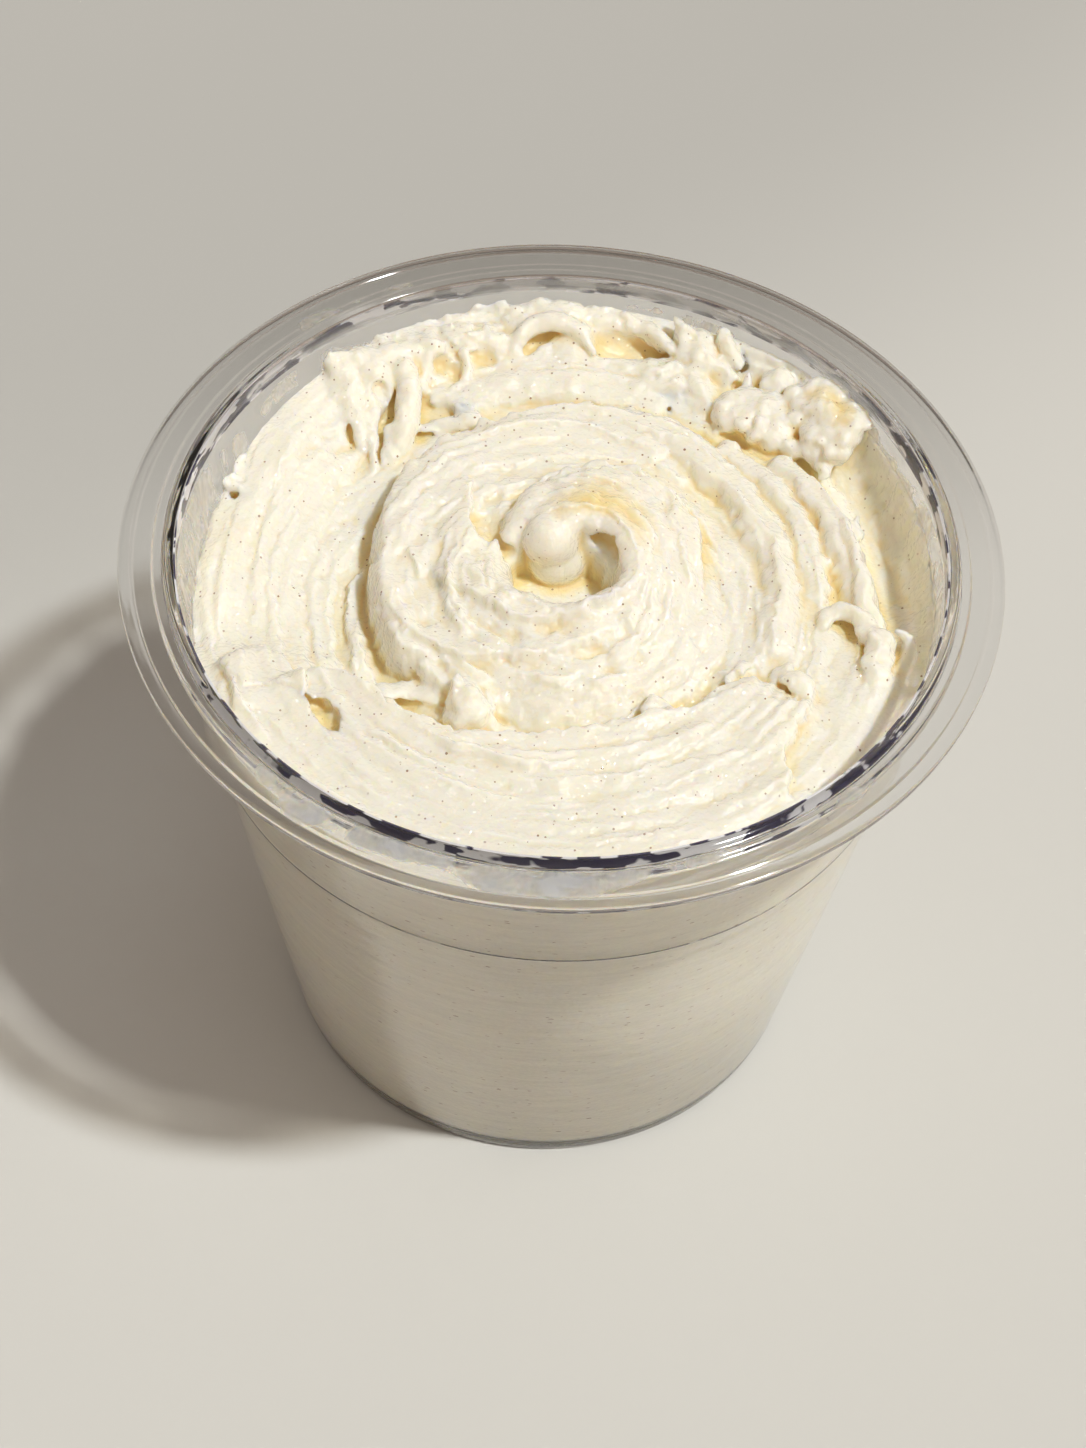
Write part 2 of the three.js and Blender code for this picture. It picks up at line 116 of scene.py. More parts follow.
class CreamSettings(bpy.types.PropertyGroup):
    """Resolution and colours of the ice cream."""

    step: bpy.props.FloatProperty(
        name="Step", description="Spacing of the block of space that the swirl is worked in",
        default=0.00022, unit="LENGTH")
    most_faces: bpy.props.IntProperty(
        name="Most triangles", description="The swirl is thinned to this many triangles",
        default=180000)
    milk: bpy.props.StringProperty(
        name="Cream colour", description="Ivory of the lit cream, as sRGB hex", default="F4F1E4")
    # painted shade: the gold that light bouncing in the folds gives, painted into the cream's colour
    fold: bpy.props.StringProperty(
        name="Fold colour", description="Warmer cream deep in the folds, as sRGB hex", default="F5E2AA")
    # also the colour of the whitish streaks on the flange, a painted reflection
    smear: bpy.props.StringProperty(
        name="Smear colour", description="Cream smeared thin on the plastic, as sRGB hex", default="F4EDD8")
    speck: bpy.props.StringProperty(
        name="Speck colour", description="Ground vanilla seed, as sRGB hex", default="865228")
    speck_spacing: bpy.props.FloatProperty(
        name="Speck spacing", description="Mean distance between specks",
        default=0.0009, unit="LENGTH")


class StudioSettings(bpy.types.PropertyGroup):
    """Floor, lights and camera."""

    floor: bpy.props.StringProperty(
        name="Floor colour", description="Plain pale floor, as sRGB hex", default="D2D3CF")
    key_energy: bpy.props.FloatProperty(
        name="Key light", description="Strength of the key light", default=2.45)
    key_angle: bpy.props.FloatProperty(
        name="Key softness", description="Apparent size of the key light",
        default=math.radians(3.5), subtype="ANGLE")
    strip_energy: bpy.props.FloatProperty(
        name="Strip light", description="Power of the long softbox", default=0.4, unit="POWER")
    fill: bpy.props.FloatProperty(
        name="Fill light", description="Strength of the soft light from all round", default=0.3)


def settings(context):
    scene = context.scene
    return scene.tub_settings, scene.cream_settings, scene.studio_settings


# ---------------------------------------------------------------------------------------------
# Small tools


def linear(hex_colour):
    """An sRGB hex colour as linear RGBA."""
    channels = [int(hex_colour[i:i + 2], 16) / 255 for i in (0, 2, 4)]
    return [c / 12.92 if c <= 0.04045 else ((c + 0.055) / 1.055) ** 2.4 for c in channels] + [1.0]


def add_node(tree, kind, values=None, links=None, **options):
    """Adds a node with its options, socket values and incoming links."""
    node = tree.nodes.new(kind)
    for name, value in options.items():
        setattr(node, name, value)
    for socket, value in (values or {}).items():
        node.inputs[socket].default_value = value
    for socket, source in (links or {}).items():
        tree.links.new(source, node.inputs[socket])
    return node


def new_material(name):
    material = bpy.data.materials.new(name)
    material.use_nodes = True
    material.node_tree.nodes.clear()
    return material


def finish_piece(piece, name, node, material):
    """Names a finished piece, gives it its material, hangs it on the body and hides the imported part it
    stands for.
    """
    piece.name = name
    piece.data.name = name
    piece.data.materials.clear()
    piece.data.materials.append(material)
    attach(piece, BODY)
    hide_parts(node)
    return piece


def deselect():
    if bpy.context.mode != "OBJECT":
        bpy.ops.object.mode_set(mode="OBJECT")
    bpy.ops.object.select_all(action="DESELECT")


def activate(piece):
    deselect()
    piece.select_set(True)
    bpy.context.view_layer.objects.active = piece


# ---------------------------------------------------------------------------------------------
# The tub


# Sizes of the tub that its settings don't hold, in millimetres.
CREST_RISE = 0.75  # of the bead's crest above the flange
FLANGE_THICKNESS = 0.8
MOUTH_INSET = 7.0  # from the flange's edge in to the mouth
LAND_DEPTH = 3.2  # from the bead's crest down to the step inside the mouth
LINE_LEVEL = 62.4  # of the thin line round the wall
UNDERSIDE = 1.0  # height of the foot's raised middle
FLOOR_TOP = 2.4
POLE_RADIUS = 4.0  # where the turned section ends; the hole inside it is filled


def rounded(corners, steps=5):
    """A half section of (radius, height, rounding) corners, with each corner turned into an arc."""
    points = []
    for i, (radius, height, rounding) in enumerate(corners):
        here = Vector((radius, height))
        if rounding == 0 or i in (0, len(corners) - 1):
            points.append(here)
            continue
        to_last = Vector(corners[i - 1][:2]) - here
        to_next = Vector(corners[i + 1][:2]) - here
        reach = min(rounding, 0.49 * to_last.length, 0.49 * to_next.length)
        start = here + to_last.normalized() * reach
        end = here + to_next.normalized() * reach
        for k in range(steps + 1):
            t = k / steps
            points.append(start * (1 - t) ** 2 + here * (2 * t * (1 - t)) + end * t ** 2)
    return points


def turned_shell(section, sides):
    """A round shell: a circle primitive, extruded and resized from station to station."""
    deselect()
    first = section[0]
    bpy.ops.mesh.primitive_circle_add(
        vertices=sides, radius=first[0] * MM, location=(0, 0, first[1] * MM))
    piece = bpy.context.active_object
    bpy.ops.object.transform_apply(location=True, rotation=True, scale=True)
    bpy.ops.object.mode_set(mode="EDIT")
    bpy.ops.mesh.select_mode(type="EDGE")
    bpy.ops.mesh.select_all(action="SELECT")
    for last, point in zip(section, section[1:]):
        bpy.ops.mesh.extrude_edges_move(
            TRANSFORM_OT_translate={"value": (0, 0, (point[1] - last[1]) * MM)})
        ratio = point[0] / last[0]
        bpy.ops.transform.resize(value=(ratio, ratio, 1), center_override=(0, 0, 0))
    bpy.ops.object.mode_set(mode="OBJECT")
    return piece


def close_shell(piece):
    """Fills the poles of a turned shell, or joins the ends of a turned ring, and turns faces outward."""
    activate(piece)
    bpy.ops.object.mode_set(mode="EDIT")
    bpy.ops.mesh.select_mode(type="EDGE")
    bpy.ops.mesh.select_all(action="SELECT")
    bpy.ops.mesh.remove_doubles(threshold=1e-7)
    bpy.ops.mesh.select_all(action="DESELECT")
    bpy.ops.mesh.select_non_manifold(extend=False, use_boundary=True, use_wire=False,
                                     use_multi_face=False, use_non_contiguous=False,
                                     use_verts=False)
    bpy.ops.mesh.fill_holes(sides=0)
    bpy.ops.mesh.select_all(action="SELECT")
    bpy.ops.mesh.normals_make_consistent(inside=False)
    bpy.ops.object.mode_set(mode="OBJECT")
    bpy.ops.object.shade_smooth_by_angle(angle=math.radians(35))


def clear_plastic(tint, rim_tint, rim_far_painted_shade, rim_shade, rim_height):
    """PET, thermoformed: clear and glossy, a little wavy round the wall where the sheet was drawn,
    and greyer where the flange gathers light between its two faces, with painted shade darker on its far
    side."""
    material = new_material("PET, thermoformed clear")
    tree = material.node_tree
    place = add_node(tree, "ShaderNodeTexCoord")
    flat = add_node(tree, "ShaderNodeMapping", {"Scale": (1, 1, 3.2)}, {0: place.outputs["Object"]})
    waves = add_node(tree, "ShaderNodeTexNoise", {"Scale": 95.0, "Detail": 2.0},
                     {"Vector": flat.outputs[0]})
    bump = add_node(tree, "ShaderNodeBump", {"Strength": 0.35, "Distance": 0.0004},
                    {"Height": waves.outputs["Fac"]})
    parts = add_node(tree, "ShaderNodeSeparateXYZ", None, {0: place.outputs["Object"]})
    rim = add_node(tree, "ShaderNodeMath", {1: rim_height}, {0: parts.outputs["Z"]},
                   operation="GREATER_THAN")
    # painted shade: the flange's tint turns darker towards its far side
    far = add_node(tree, "ShaderNodeMapRange", {"From Min": 0.0, "From Max": 0.05},
                   {"Value": parts.outputs["Y"]})
    rim_colour = add_node(tree, "ShaderNodeMix", {6: (*rim_tint, 1), 7: (*rim_far_painted_shade, 1)},
                          {0: far.outputs[0]}, data_type="RGBA")
    colour = add_node(tree, "ShaderNodeMix", {6: (*tint, 1)},
                      {0: rim.outputs[0], 7: rim_colour.outputs[2]}, data_type="RGBA")
    body = add_node(tree, "ShaderNodeBsdfPrincipled",
                    {"Roughness": 0.07, "IOR": 1.5, "Transmission Weight": 1.0},
                    {"Base Color": colour.outputs[2], "Normal": bump.outputs["Normal"]})
    shade = add_node(tree, "ShaderNodeMix", {6: (*tint, 1), 7: (*rim_shade, 1)}, {0: rim.outputs[0]},
                     data_type="RGBA")
    lamp_rays = add_node(tree, "ShaderNodeLightPath")
    open_to_lamps = add_node(tree, "ShaderNodeBsdfTransparent", None, {"Color": shade.outputs[2]})
    surface = add_node(tree, "ShaderNodeMixShader", None,
                       {0: lamp_rays.outputs["Is Shadow Ray"], 1: body.outputs[0],
                        2: open_to_lamps.outputs[0]})
    add_node(tree, "ShaderNodeOutputMaterial", None, {"Surface": surface.outputs[0]})
    return material


def smeared_band(name, band, smear, threshold):
    """Dark moulded ring with thin cream smeared over it; painted shade keeps it dark at the front and fades
    it almost clear at the back.
    """
    material = new_material(name)
    tree = material.node_tree
    place = add_node(tree, "ShaderNodeTexCoord")
    drawn = add_node(tree, "ShaderNodeMapping", {"Scale": (1, 1, 3)}, {0: place.outputs["Object"]})
    patches = add_node(tree, "ShaderNodeTexNoise", {"Scale": 210.0, "Detail": 2.0, "Distortion": 0.4},
                       {"Vector": drawn.outputs[0]})
    smears = add_node(tree, "ShaderNodeMapRange",
                      {"From Min": threshold, "From Max": threshold + 0.03},
                      {"Value": patches.outputs["Fac"]})
    colour = add_node(tree, "ShaderNodeMix", {6: (*band, 1), 7: linear(smear)}, {0: smears.outputs[0]},
                      data_type="RGBA")
    parts = add_node(tree, "ShaderNodeSeparateXYZ", None, {0: place.outputs["Object"]})
    # painted shade: opaque at the front, fading almost clear towards the back
    front = add_node(tree, "ShaderNodeMapRange",
                     {"From Min": -0.002, "From Max": 0.03, "To Min": 1.0, "To Max": 0.12},
                     {"Value": parts.outputs["Y"]})
    fine = add_node(tree, "ShaderNodeMapping", {"Scale": (0.5, 0.5, 9)}, {0: place.outputs["Object"]})
    lines = add_node(tree, "ShaderNodeTexNoise", {"Scale": 110.0, "Detail": 2.0}, {"Vector": fine.outputs[0]})
    streaks = add_node(tree, "ShaderNodeMapRange",
                       {"From Min": 0.4, "From Max": 0.6, "To Min": -0.35, "To Max": 0.35},
                       {"Value": lines.outputs["Fac"]})
    cover = add_node(tree, "ShaderNodeMath", None, {0: front.outputs[0], 1: streaks.outputs[0]},
                     operation="ADD", use_clamp=True)
    solid = add_node(tree, "ShaderNodeMix", {3: 1.0}, {0: front.outputs[0], 2: cover.outputs[0]},
                     data_type="FLOAT")
    body = add_node(tree, "ShaderNodeBsdfPrincipled", {"Roughness": 0.22, "IOR": 1.5},
                    {"Base Color": colour.outputs[2], "Alpha": solid.outputs[0]})
    add_node(tree, "ShaderNodeOutputMaterial", None, {"Surface": body.outputs[0]})
    return material


def outer_wall(tub, height):
    """Radius of the outer wall at a height, in millimetres."""
    return tub.foot_radius / MM + tub.wall_slope * height


def inner_wall(tub, height):
    """Radius of the inner wall at a height, in millimetres."""
    return outer_wall(tub, height) - tub.wall_thickness / MM


class TUB_OT_shell(bpy.types.Operator):
    """Turns the clear shell: foot, wall, flange and bead"""

    bl_idname = "tub.shell"
    bl_label = "Tub shell"

    def execute(self, context):
        tub, _, _ = settings(context)
        rim = tub.rim_height / MM
        flange = tub.flange_radius / MM
        foot = tub.foot_radius / MM
        flange_top = rim - CREST_RISE
        under = flange_top - FLANGE_THICKNESS
        mouth = flange - MOUTH_INSET
        land = rim - LAND_DEPTH
        line_low, line_high = LINE_LEVEL - 0.5, LINE_LEVEL + 0.5
        section = rounded([
            (POLE_RADIUS, UNDERSIDE, 0),
            (30.5, UNDERSIDE, 0.5),
            (31.5, 0.0, 0.6),
            (foot - 0.2, 0.0, 1.6),
            (outer_wall(tub, 2.0), 2.0, 0.6),
            (outer_wall(tub, line_low), line_low, 0.2),
            (outer_wall(tub, LINE_LEVEL) + 0.16, LINE_LEVEL, 0.25),
            (outer_wall(tub, line_high), line_high, 0.2),
            (outer_wall(tub, under) - 0.2, under + 0.05, 0.3),
            (flange - 3.6, under, 0.3),
            (flange - 0.6, under, 0.3),
            (flange, under - 0.25, 0.25),
            (flange, flange_top - 0.1, 0.3),
            (flange - 0.5, flange_top + 0.05, 0.3),
            (flange - 1.4, flange_top - 0.1, 0.2),
            (flange - 1.7, flange_top - 0.32, 0.2),
            (flange - 2.0, flange_top - 0.1, 0.2),
            (flange - 4.1, flange_top - 0.1, 0.3),
            (flange - 4.5, flange_top + 0.35, 0.3),
            (mouth + 1.6, flange_top + 0.2, 0.3),
            (mouth + 1.1, rim, 0.35),
            (mouth, rim, 0.4),
            (mouth - 0.05, land, 0.3),
            (inner_wall(tub, land - 0.4), land - 0.4, 0.3),
            (inner_wall(tub, FLOOR_TOP + 1.0), FLOOR_TOP + 1.0, 1.2),
            (inner_wall(tub, FLOOR_TOP) - 1.0, FLOOR_TOP, 0.6),
            (POLE_RADIUS, FLOOR_TOP, 0),
        ])
        piece = turned_shell(section, tub.sides)
        close_shell(piece)
        material = clear_plastic(tub.tint, tub.rim_tint, tub.rim_far_painted_shade, tub.rim_shade, (under - 1.2) * MM)
        finish_piece(piece, "tub_shell", "tub", material)
        return {"FINISHED"}


class TUB_OT_bands(bpy.types.Operator):
    """Turns the dark ring below the bead and the thin ones round the wall and the foot"""

    bl_idname = "tub.bands"
    bl_label = "Dark rings"

    def execute(self, context):
        tub, _, _ = settings(context)
        rim = tub.rim_height / MM
        mouth = tub.flange_radius / MM - MOUTH_INSET
        foot = tub.foot_radius / MM
        line = outer_wall(tub, LINE_LEVEL)
        rings = {
            "rim_band": [(mouth - 0.22, rim - 2.9), (mouth + 0.2, rim - 2.9), (mouth + 0.25, rim - 0.5),
                         (mouth - 0.16, rim - 0.5)],
            "line_band": [(line - 0.08, LINE_LEVEL - 0.15), (line + 0.07, LINE_LEVEL - 0.1),
                          (line + 0.12, LINE_LEVEL + 0.05), (line - 0.03, LINE_LEVEL + 0.1)],
            "foot_band": [(foot - 1.1, 0.25), (foot - 0.45, 0.3), (foot - 0.15, 0.75),
                          (foot - 0.75, 0.8)],
        }
        deep = smeared_band("PET, deep blue tint, smeared with cream", tub.band, "E6E7EC", 0.475)
        edge = smeared_band("PET, thick edge, dark where light turns away", tub.edge, "B9B5AE", 0.6)
        for name, corners in rings.items():
            piece = turned_shell(corners + corners[:1], tub.sides)
            close_shell(piece)
            finish_piece(piece, name, "tub", deep if name == "rim_band" else edge)
        return {"FINISHED"}


# Cream smeared thinly on the inner wall: angle at its middle, half its width in degrees, lowest and
# highest level, and how dense it is.
WALL_FILMS = [
    (41, 13, 74, 83.9, 0.9), (26, 16, 72, 82.9, 0.9), (8, 18, 70, 81.4, 0.9), (-12, 13, 70, 80, 0.9),
    (12, 42, 74, 84.6, 0.5), (62, 14, 78, 84.6, 0.55), (80, 10, 82, 84, 0.4), (172, 26, 74, 84.4, 0.42),
    (205, 20, 74, 83, 0.44), (136, 16, 80, 84.2, 0.4),
]
# Whitish streaks on the flange, a painted reflection made with the smear film: angle, half width in degrees,
# inner and outer radius, density.
FLANGE_PAINTED_REFLECTIONS = [
    (251, 9, 49.6, 54, 0.72), (262, 8, 49.6, 54.2, 0.64), (275, 12, 49.6, 54, 0.74),
        (234, 9, 49.6, 53.4, 0.58),
    (290, 8, 49.6, 53, 0.5), (126, 12, 50, 53.6, 0.5), (318, 10, 50, 53, 0.46),
]


DAIRY_SCATTER = (1.0, 0.85, 0.55)  # how far red, green and blue light travel in the cream, as shares
FILM_ROW = 0.6  # height of a row of faces in the smears, in millimetres
FILM_LOW = 70.0


def smear_and_reflection_film(milk):
    """Dairy ice cream smeared thin on the plastic: dense in streaks, clear between them. On the flange the
    same film is a painted reflection.
    """
    material = new_material("Dairy ice cream, thin smear")
    tree = material.node_tree
    place = add_node(tree, "ShaderNodeTexCoord")
    cover = add_node(tree, "ShaderNodeAttribute", attribute_name="cover")
    drawn = add_node(tree, "ShaderNodeMapping", {"Scale": (1, 1, 0.4)}, {0: place.outputs["Object"]})
    streaks = add_node(tree, "ShaderNodeTexNoise", {"Scale": 240.0, "Detail": 4.0, "Distortion": 0.5},
                       {"Vector": drawn.outputs[0]})
    both = add_node(tree, "ShaderNodeMath", {1: 1.5}, {0: streaks.outputs["Fac"], 2: cover.outputs["Fac"]},
                    operation="MULTIPLY_ADD")
    dense = add_node(tree, "ShaderNodeMapRange", {"From Min": 1.06, "From Max": 1.6},
                     {"Value": both.outputs[0]})
    body = add_node(tree, "ShaderNodeBsdfPrincipled",
                    {"Base Color": linear(milk), "Roughness": 0.35, "Subsurface Weight": 1.0,
                     "Subsurface Radius": DAIRY_SCATTER, "Subsurface Scale": 0.0012},
                    {"Alpha": dense.outputs[0]})
    add_node(tree, "ShaderNodeOutputMaterial", None, {"Surface": body.outputs[0]})
    return material


def film_cover(films, angle, place):
    """How densely smears, or on the flange the painted reflection, cover each place: by its angle and its
    level, or its radius on the flange.
    """
    total = np.zeros(len(place))
    for middle, half, low, high, density in films:
        off = np.abs((angle - middle + 180) % 360 - 180) / half
        edge = high - 1.6 * off ** 2 + 0.9 * np.sin(np.radians(angle * 11)) * (density < 0.9)
        part = smooth(2.5 * (1 - off)) * smooth((edge - place) / 1.2) * smooth((place - low) / 1.2)
        total = np.maximum(total, density * part)
    return total


class TUB_OT_film(bpy.types.Operator):
    """Turns the thin smears on the inner wall above the ice cream, and the whitish streaks on the flange that
    are a painted reflection
    """

    bl_idname = "tub.film"
    bl_label = "Smears on the plastic"

    def execute(self, context):
        tub, cream, _ = settings(context)
        flange = tub.flange_radius / MM
        middle = tub.rim_height / MM - CREST_RISE - 0.5 * FLANGE_THICKNESS
        levels = [FILM_LOW + FILM_ROW * k for k in range(24)]
        radii = [flange - 5.6 + FILM_ROW * k for k in range(8)]
        sheets = {
            "wall_smears": ([(inner_wall(tub, z) - 0.12, z) for z in levels],
                            [(inner_wall(tub, z) - 0.03, z) for z in levels]),
            # painted reflection: whitish streaks on the flange, drawn with the smear film
            "flange_painted_reflections": ([(r, middle) for r in radii], [(r, middle + 0.07) for r in radii]),
        }
        material = smear_and_reflection_film(cream.smear)
        for name, (inner, outer) in sheets.items():
            section = inner + outer[::-1]
            piece = turned_shell(section + section[:1], tub.sides)
            close_shell(piece)
            co = np.array([v.co for v in piece.data.vertices]) / MM
            angle = np.degrees(np.arctan2(co[:, 1], co[:, 0]))
            if name == "wall_smears":
                cover = film_cover(WALL_FILMS, angle, co[:, 2])
            else:
                cover = film_cover(FLANGE_PAINTED_REFLECTIONS, angle, np.hypot(co[:, 0], co[:, 1]))
            write_attribute(piece, "cover", cover)
            finish_piece(piece, name, "ice_cream", material)
        return {"FINISHED"}


# ---------------------------------------------------------------------------------------------
# The ice cream: strokes traced from above, then worked as one block


# Points of the strokes are traced where the eye at CAMERA_PLACE sees them on the level plane at
# TRACE_LEVEL; lifted() moves a point along its line of sight to its own height.
CAMERA_PLACE = (0.0, -252.8, 367.7)
TRACE_LEVEL = 78.0

BLOCK_LOW = 69.0  # the swirl is worked above this level; below it the side is plain
BLOCK_HIGH = 85.6
SWIRL_LEVEL = 79.0  # mean level of the swirl's edge
INTO_WALL = 0.25  # the ice cream reaches this far into the wall, so that no air shows
TABLE = 32  # side of the table of random numbers behind the noise


def lifted(x, y, z):
    ratio = (CAMERA_PLACE[2] - z) / (CAMERA_PLACE[2] - TRACE_LEVEL)
    return x * ratio, CAMERA_PLACE[1] + ratio * (y - CAMERA_PLACE[1]), z


def random_table(seed):
    return np.random.default_rng(seed).uniform(-1, 1, (TABLE, TABLE, TABLE)).astype(np.float32)


TABLES = [random_table(seed) for seed in range(6)]


def noise(x, y, z, seed=0):
    """Smooth value noise from -1 to 1; coordinates are in wavelengths."""
    table = TABLES[seed % len(TABLES)]
    x, y, z = np.broadcast_arrays(x, y, z)
    lows, parts = [], []
    for c in (x, y, z):
        low = np.floor(c)
        t = (c - low).astype(np.float32)
        parts.append(t * t * (3 - 2 * t))
        lows.append(low.astype(np.int32))
    i, j, k = lows
    u, v, w = parts
    total = 0
    for a in (0, 1):
        for b in (0, 1):
            for c in (0, 1):
                value = table[(i + a) % TABLE, (j + b) % TABLE, (k + c) % TABLE]
                total = total + value * (u if a else 1 - u) * (v if b else 1 - v) * (w if c else 1 - w)
    return total


def two_waves(x, y, z, seed):
    """Unevenness of a daub's outline: a coarse wave and a fine one."""
    coarse, fine = 1.7, 0.8
    return (noise(x / coarse, y / coarse, z / coarse, seed)
            + 0.5 * noise(x / fine, y / fine, z / fine, seed + 1))


def soft_lower(a, b, blend):
    """The lower of two fields, run softly into each other."""
    share = np.clip(0.5 + 0.5 * (b - a) / blend, 0, 1)
    return b + (a - b) * share - blend * share * (1 - share)


def soft_higher(a, b, blend):
    return -soft_lower(-a, -b, blend)


def smooth(t):
    t = np.clip(t, 0, 1)
    return t * t * (3 - 2 * t)


def curve_through(points, spacing):
    """Points about `spacing` apart on a smooth curve through the given ones (any number of columns)."""
    points = np.array(points, float)
    dense = []
    last = len(points) - 1
    for i in range(last):
        p0, p1, p2, p3 = points[max(i - 1, 0)], points[i], points[i + 1], points[min(i + 2, last)]
        count = max(1, int(np.ceil(np.linalg.norm(p2[:2] - p1[:2]) / spacing)))
        for k in range(count):
            t = k / count
            dense.append(0.5 * (2 * p1 + (p2 - p0) * t + (2 * p0 - 5 * p1 + 4 * p2 - p3) * t ** 2
                                + (3 * p1 - p0 - 3 * p2 + p3) * t ** 3))
    dense.append(points[-1])
    return np.array(dense)


def round_table(stations):
    """Stations (angle, a, b, ...) all the way round, made dense; read with around()."""
    stations = sorted(stations)
    wrapped = [tuple([s[0] + turn, *s[1:]]) for turn in (-360, 0, 360) for s in stations]
    return smooth_table(wrapped)


def smooth_table(stations):
    stations = np.array(sorted(stations), float)
    rows = []
    last = len(stations) - 1
    for i in range(last):
        before, start, end, after = (stations[max(i - 1, 0)], stations[i], stations[i + 1],
                                     stations[min(i + 2, last)])
        span = end[0] - start[0]
        slope_in = (end - before) / (end[0] - before[0]) * span
        slope_out = (after - start) / (after[0] - start[0]) * span
        for t in np.arange(0, 1, 2 / max(span, 4)):
            row = ((2 * t ** 3 - 3 * t ** 2 + 1) * start + (t ** 3 - 2 * t ** 2 + t) * slope_in
                   + (3 * t ** 2 - 2 * t ** 3) * end + (t ** 3 - t ** 2) * slope_out)
            row[0] = start[0] + t * span
            rows.append(row)
    rows.append(stations[-1])
    return np.array(rows)


def around(table, angle):
    return [np.interp(angle, table[:, 0], table[:, k]) for k in range(1, table.shape[1])]


# Angle, then radius and height of the trough, radius and height of the bank, level at the wall.
SURROUND = round_table([
    (-168, 27.5, 73.4, 43.5, 75.8, 73.4), (-158, 27, 73.8, 42.5, 78.2, 76.5), (-145, 29, 73.8, 41, 78.8, 78),
    (-120, 26, 75, 40, 79, 78.5), (-90, 24.5, 75.8, 40, 79, 78.5), (-60, 26, 76, 40, 78.8, 78.2),
    (-35, 30, 77.6, 42, 79, 77.5), (-12, 31, 78.8, 42, 78, 78.4), (5, 31, 79, 42.5, 74.8, 79.8),
    (25, 31, 79, 42.5, 75.6, 81.4), (45, 31, 78.5, 42, 78.2, 82.6), (65, 32, 77.8, 43, 80.5, 82.2),
    (90, 32, 77.8, 43, 81, 82), (115, 34, 77, 45, 81, 81.5), (133, 37, 75.8, 46.8, 80.5, 80.5),
    (148, 32, 74.4, 44.5, 79.5, 78.5), (165, 28.5, 73.8, 43.7, 77.7, 76.2),
        (180, 27.5, 73.4, 43.5, 76.6, 74.5),
])

# The raised disc: angle, radius and height of its margin, height at the curl's foot.
DISC = round_table([
    (-160, 22, 78.4, 80.2), (-135, 21, 77.8, 80.3), (-112, 20, 76.8, 80.3), (-90, 21.5, 76.4, 80.4),
    (-45, 23.5, 76.6, 80.6), (-20, 24.5, 76.6, 81.4), (0, 24, 76.6, 82), (20, 24, 77, 81.8),
    (42, 25.5, 78.2, 81.2), (60, 28, 79.4, 80.6), (90, 28.5, 80.8, 80), (135, 26, 79.6, 80.2),
    (180, 22.5, 78.8, 80.3),
])

# The curl: margin of its flank, and its lip, as angle, radius and height.
CURL_MARGIN = round_table([
    (-157, 12.5, 80.6), (-124, 11, 80.6), (-90, 11, 80.6), (-56, 12, 80.6), (-24, 14.5, 80.8),
    (6, 17, 81.2), (38, 19, 82), (65, 18, 83), (90, 16, 82.6), (118, 13, 81.6), (146, 10.5, 80.5),
    (177, 12, 80.3),
])
CURL_LIP = round_table([
    (-161, 7.5, 81.3), (-140, 6.5, 82), (-90, 6.5, 82.5), (-58, 7.5, 83), (-23, 8.5, 83.5),
    (2, 9.5, 84.2), (27, 9.5, 84.6), (53, 9.5, 84.8), (77, 8.5, 84.8), (100, 8.5, 84),
    (123, 9, 82.5), (148, 9.5, 80.2), (172, 8.5, 80.8),
])

# Ridges that the spatula left: angle, radius, crest; then width and drop on the inner and outer side.
RIDGES = [
    # the disc's edge
    ([(-301, 30.5, 80.5), (-278, 30, 81), (-247, 28, 80.8), (-217, 26.5, 80.2), (-186, 23, 80),
      (-154, 22, 79), (-127, 20, 77.5)], 9, 0.7, 1.4, 3),
    # right ridge
    ([(-22, 27.5, 79), (-12, 28, 80), (14, 27.5, 80.8), (45, 28, 81.3), (71, 29.5, 80.9),
      (86, 29.5, 80)], 2.8, 2.8, 3, 1.4),
    # second ridge
    ([(-2, 33, 79.5), (19, 33.5, 80.2), (42, 33.5, 80), (54, 33.5, 79.8)], 2.5, 0.6, 1.2, 1),
    # outer ridge
    ([(-7, 41.5, 79), (4, 39, 80.5), (25, 37.5, 80.8), (43, 36.5, 80)], 2.2, 0.9, 1.4, 2.4),
    # torn edge of the front bank
    ([(-154, 35, 79), (-149.5, 32.3, 79.4), (-136, 29, 79.6), (-126, 29, 79.8), (-115, 27.5, 80),
        (-90, 24.8, 80), (-64, 24.3, 80.1), (-48, 25.7, 80), (-34, 26.8, 79.8), (-26, 30, 79.4)],
        1.3, 2.6, 12, 1),
    # band behind the disc
    ([(67, 35.5, 78.8), (90, 39, 80), (118, 40, 78.8)], 5, 1.2, 1.5, 1.5),
]

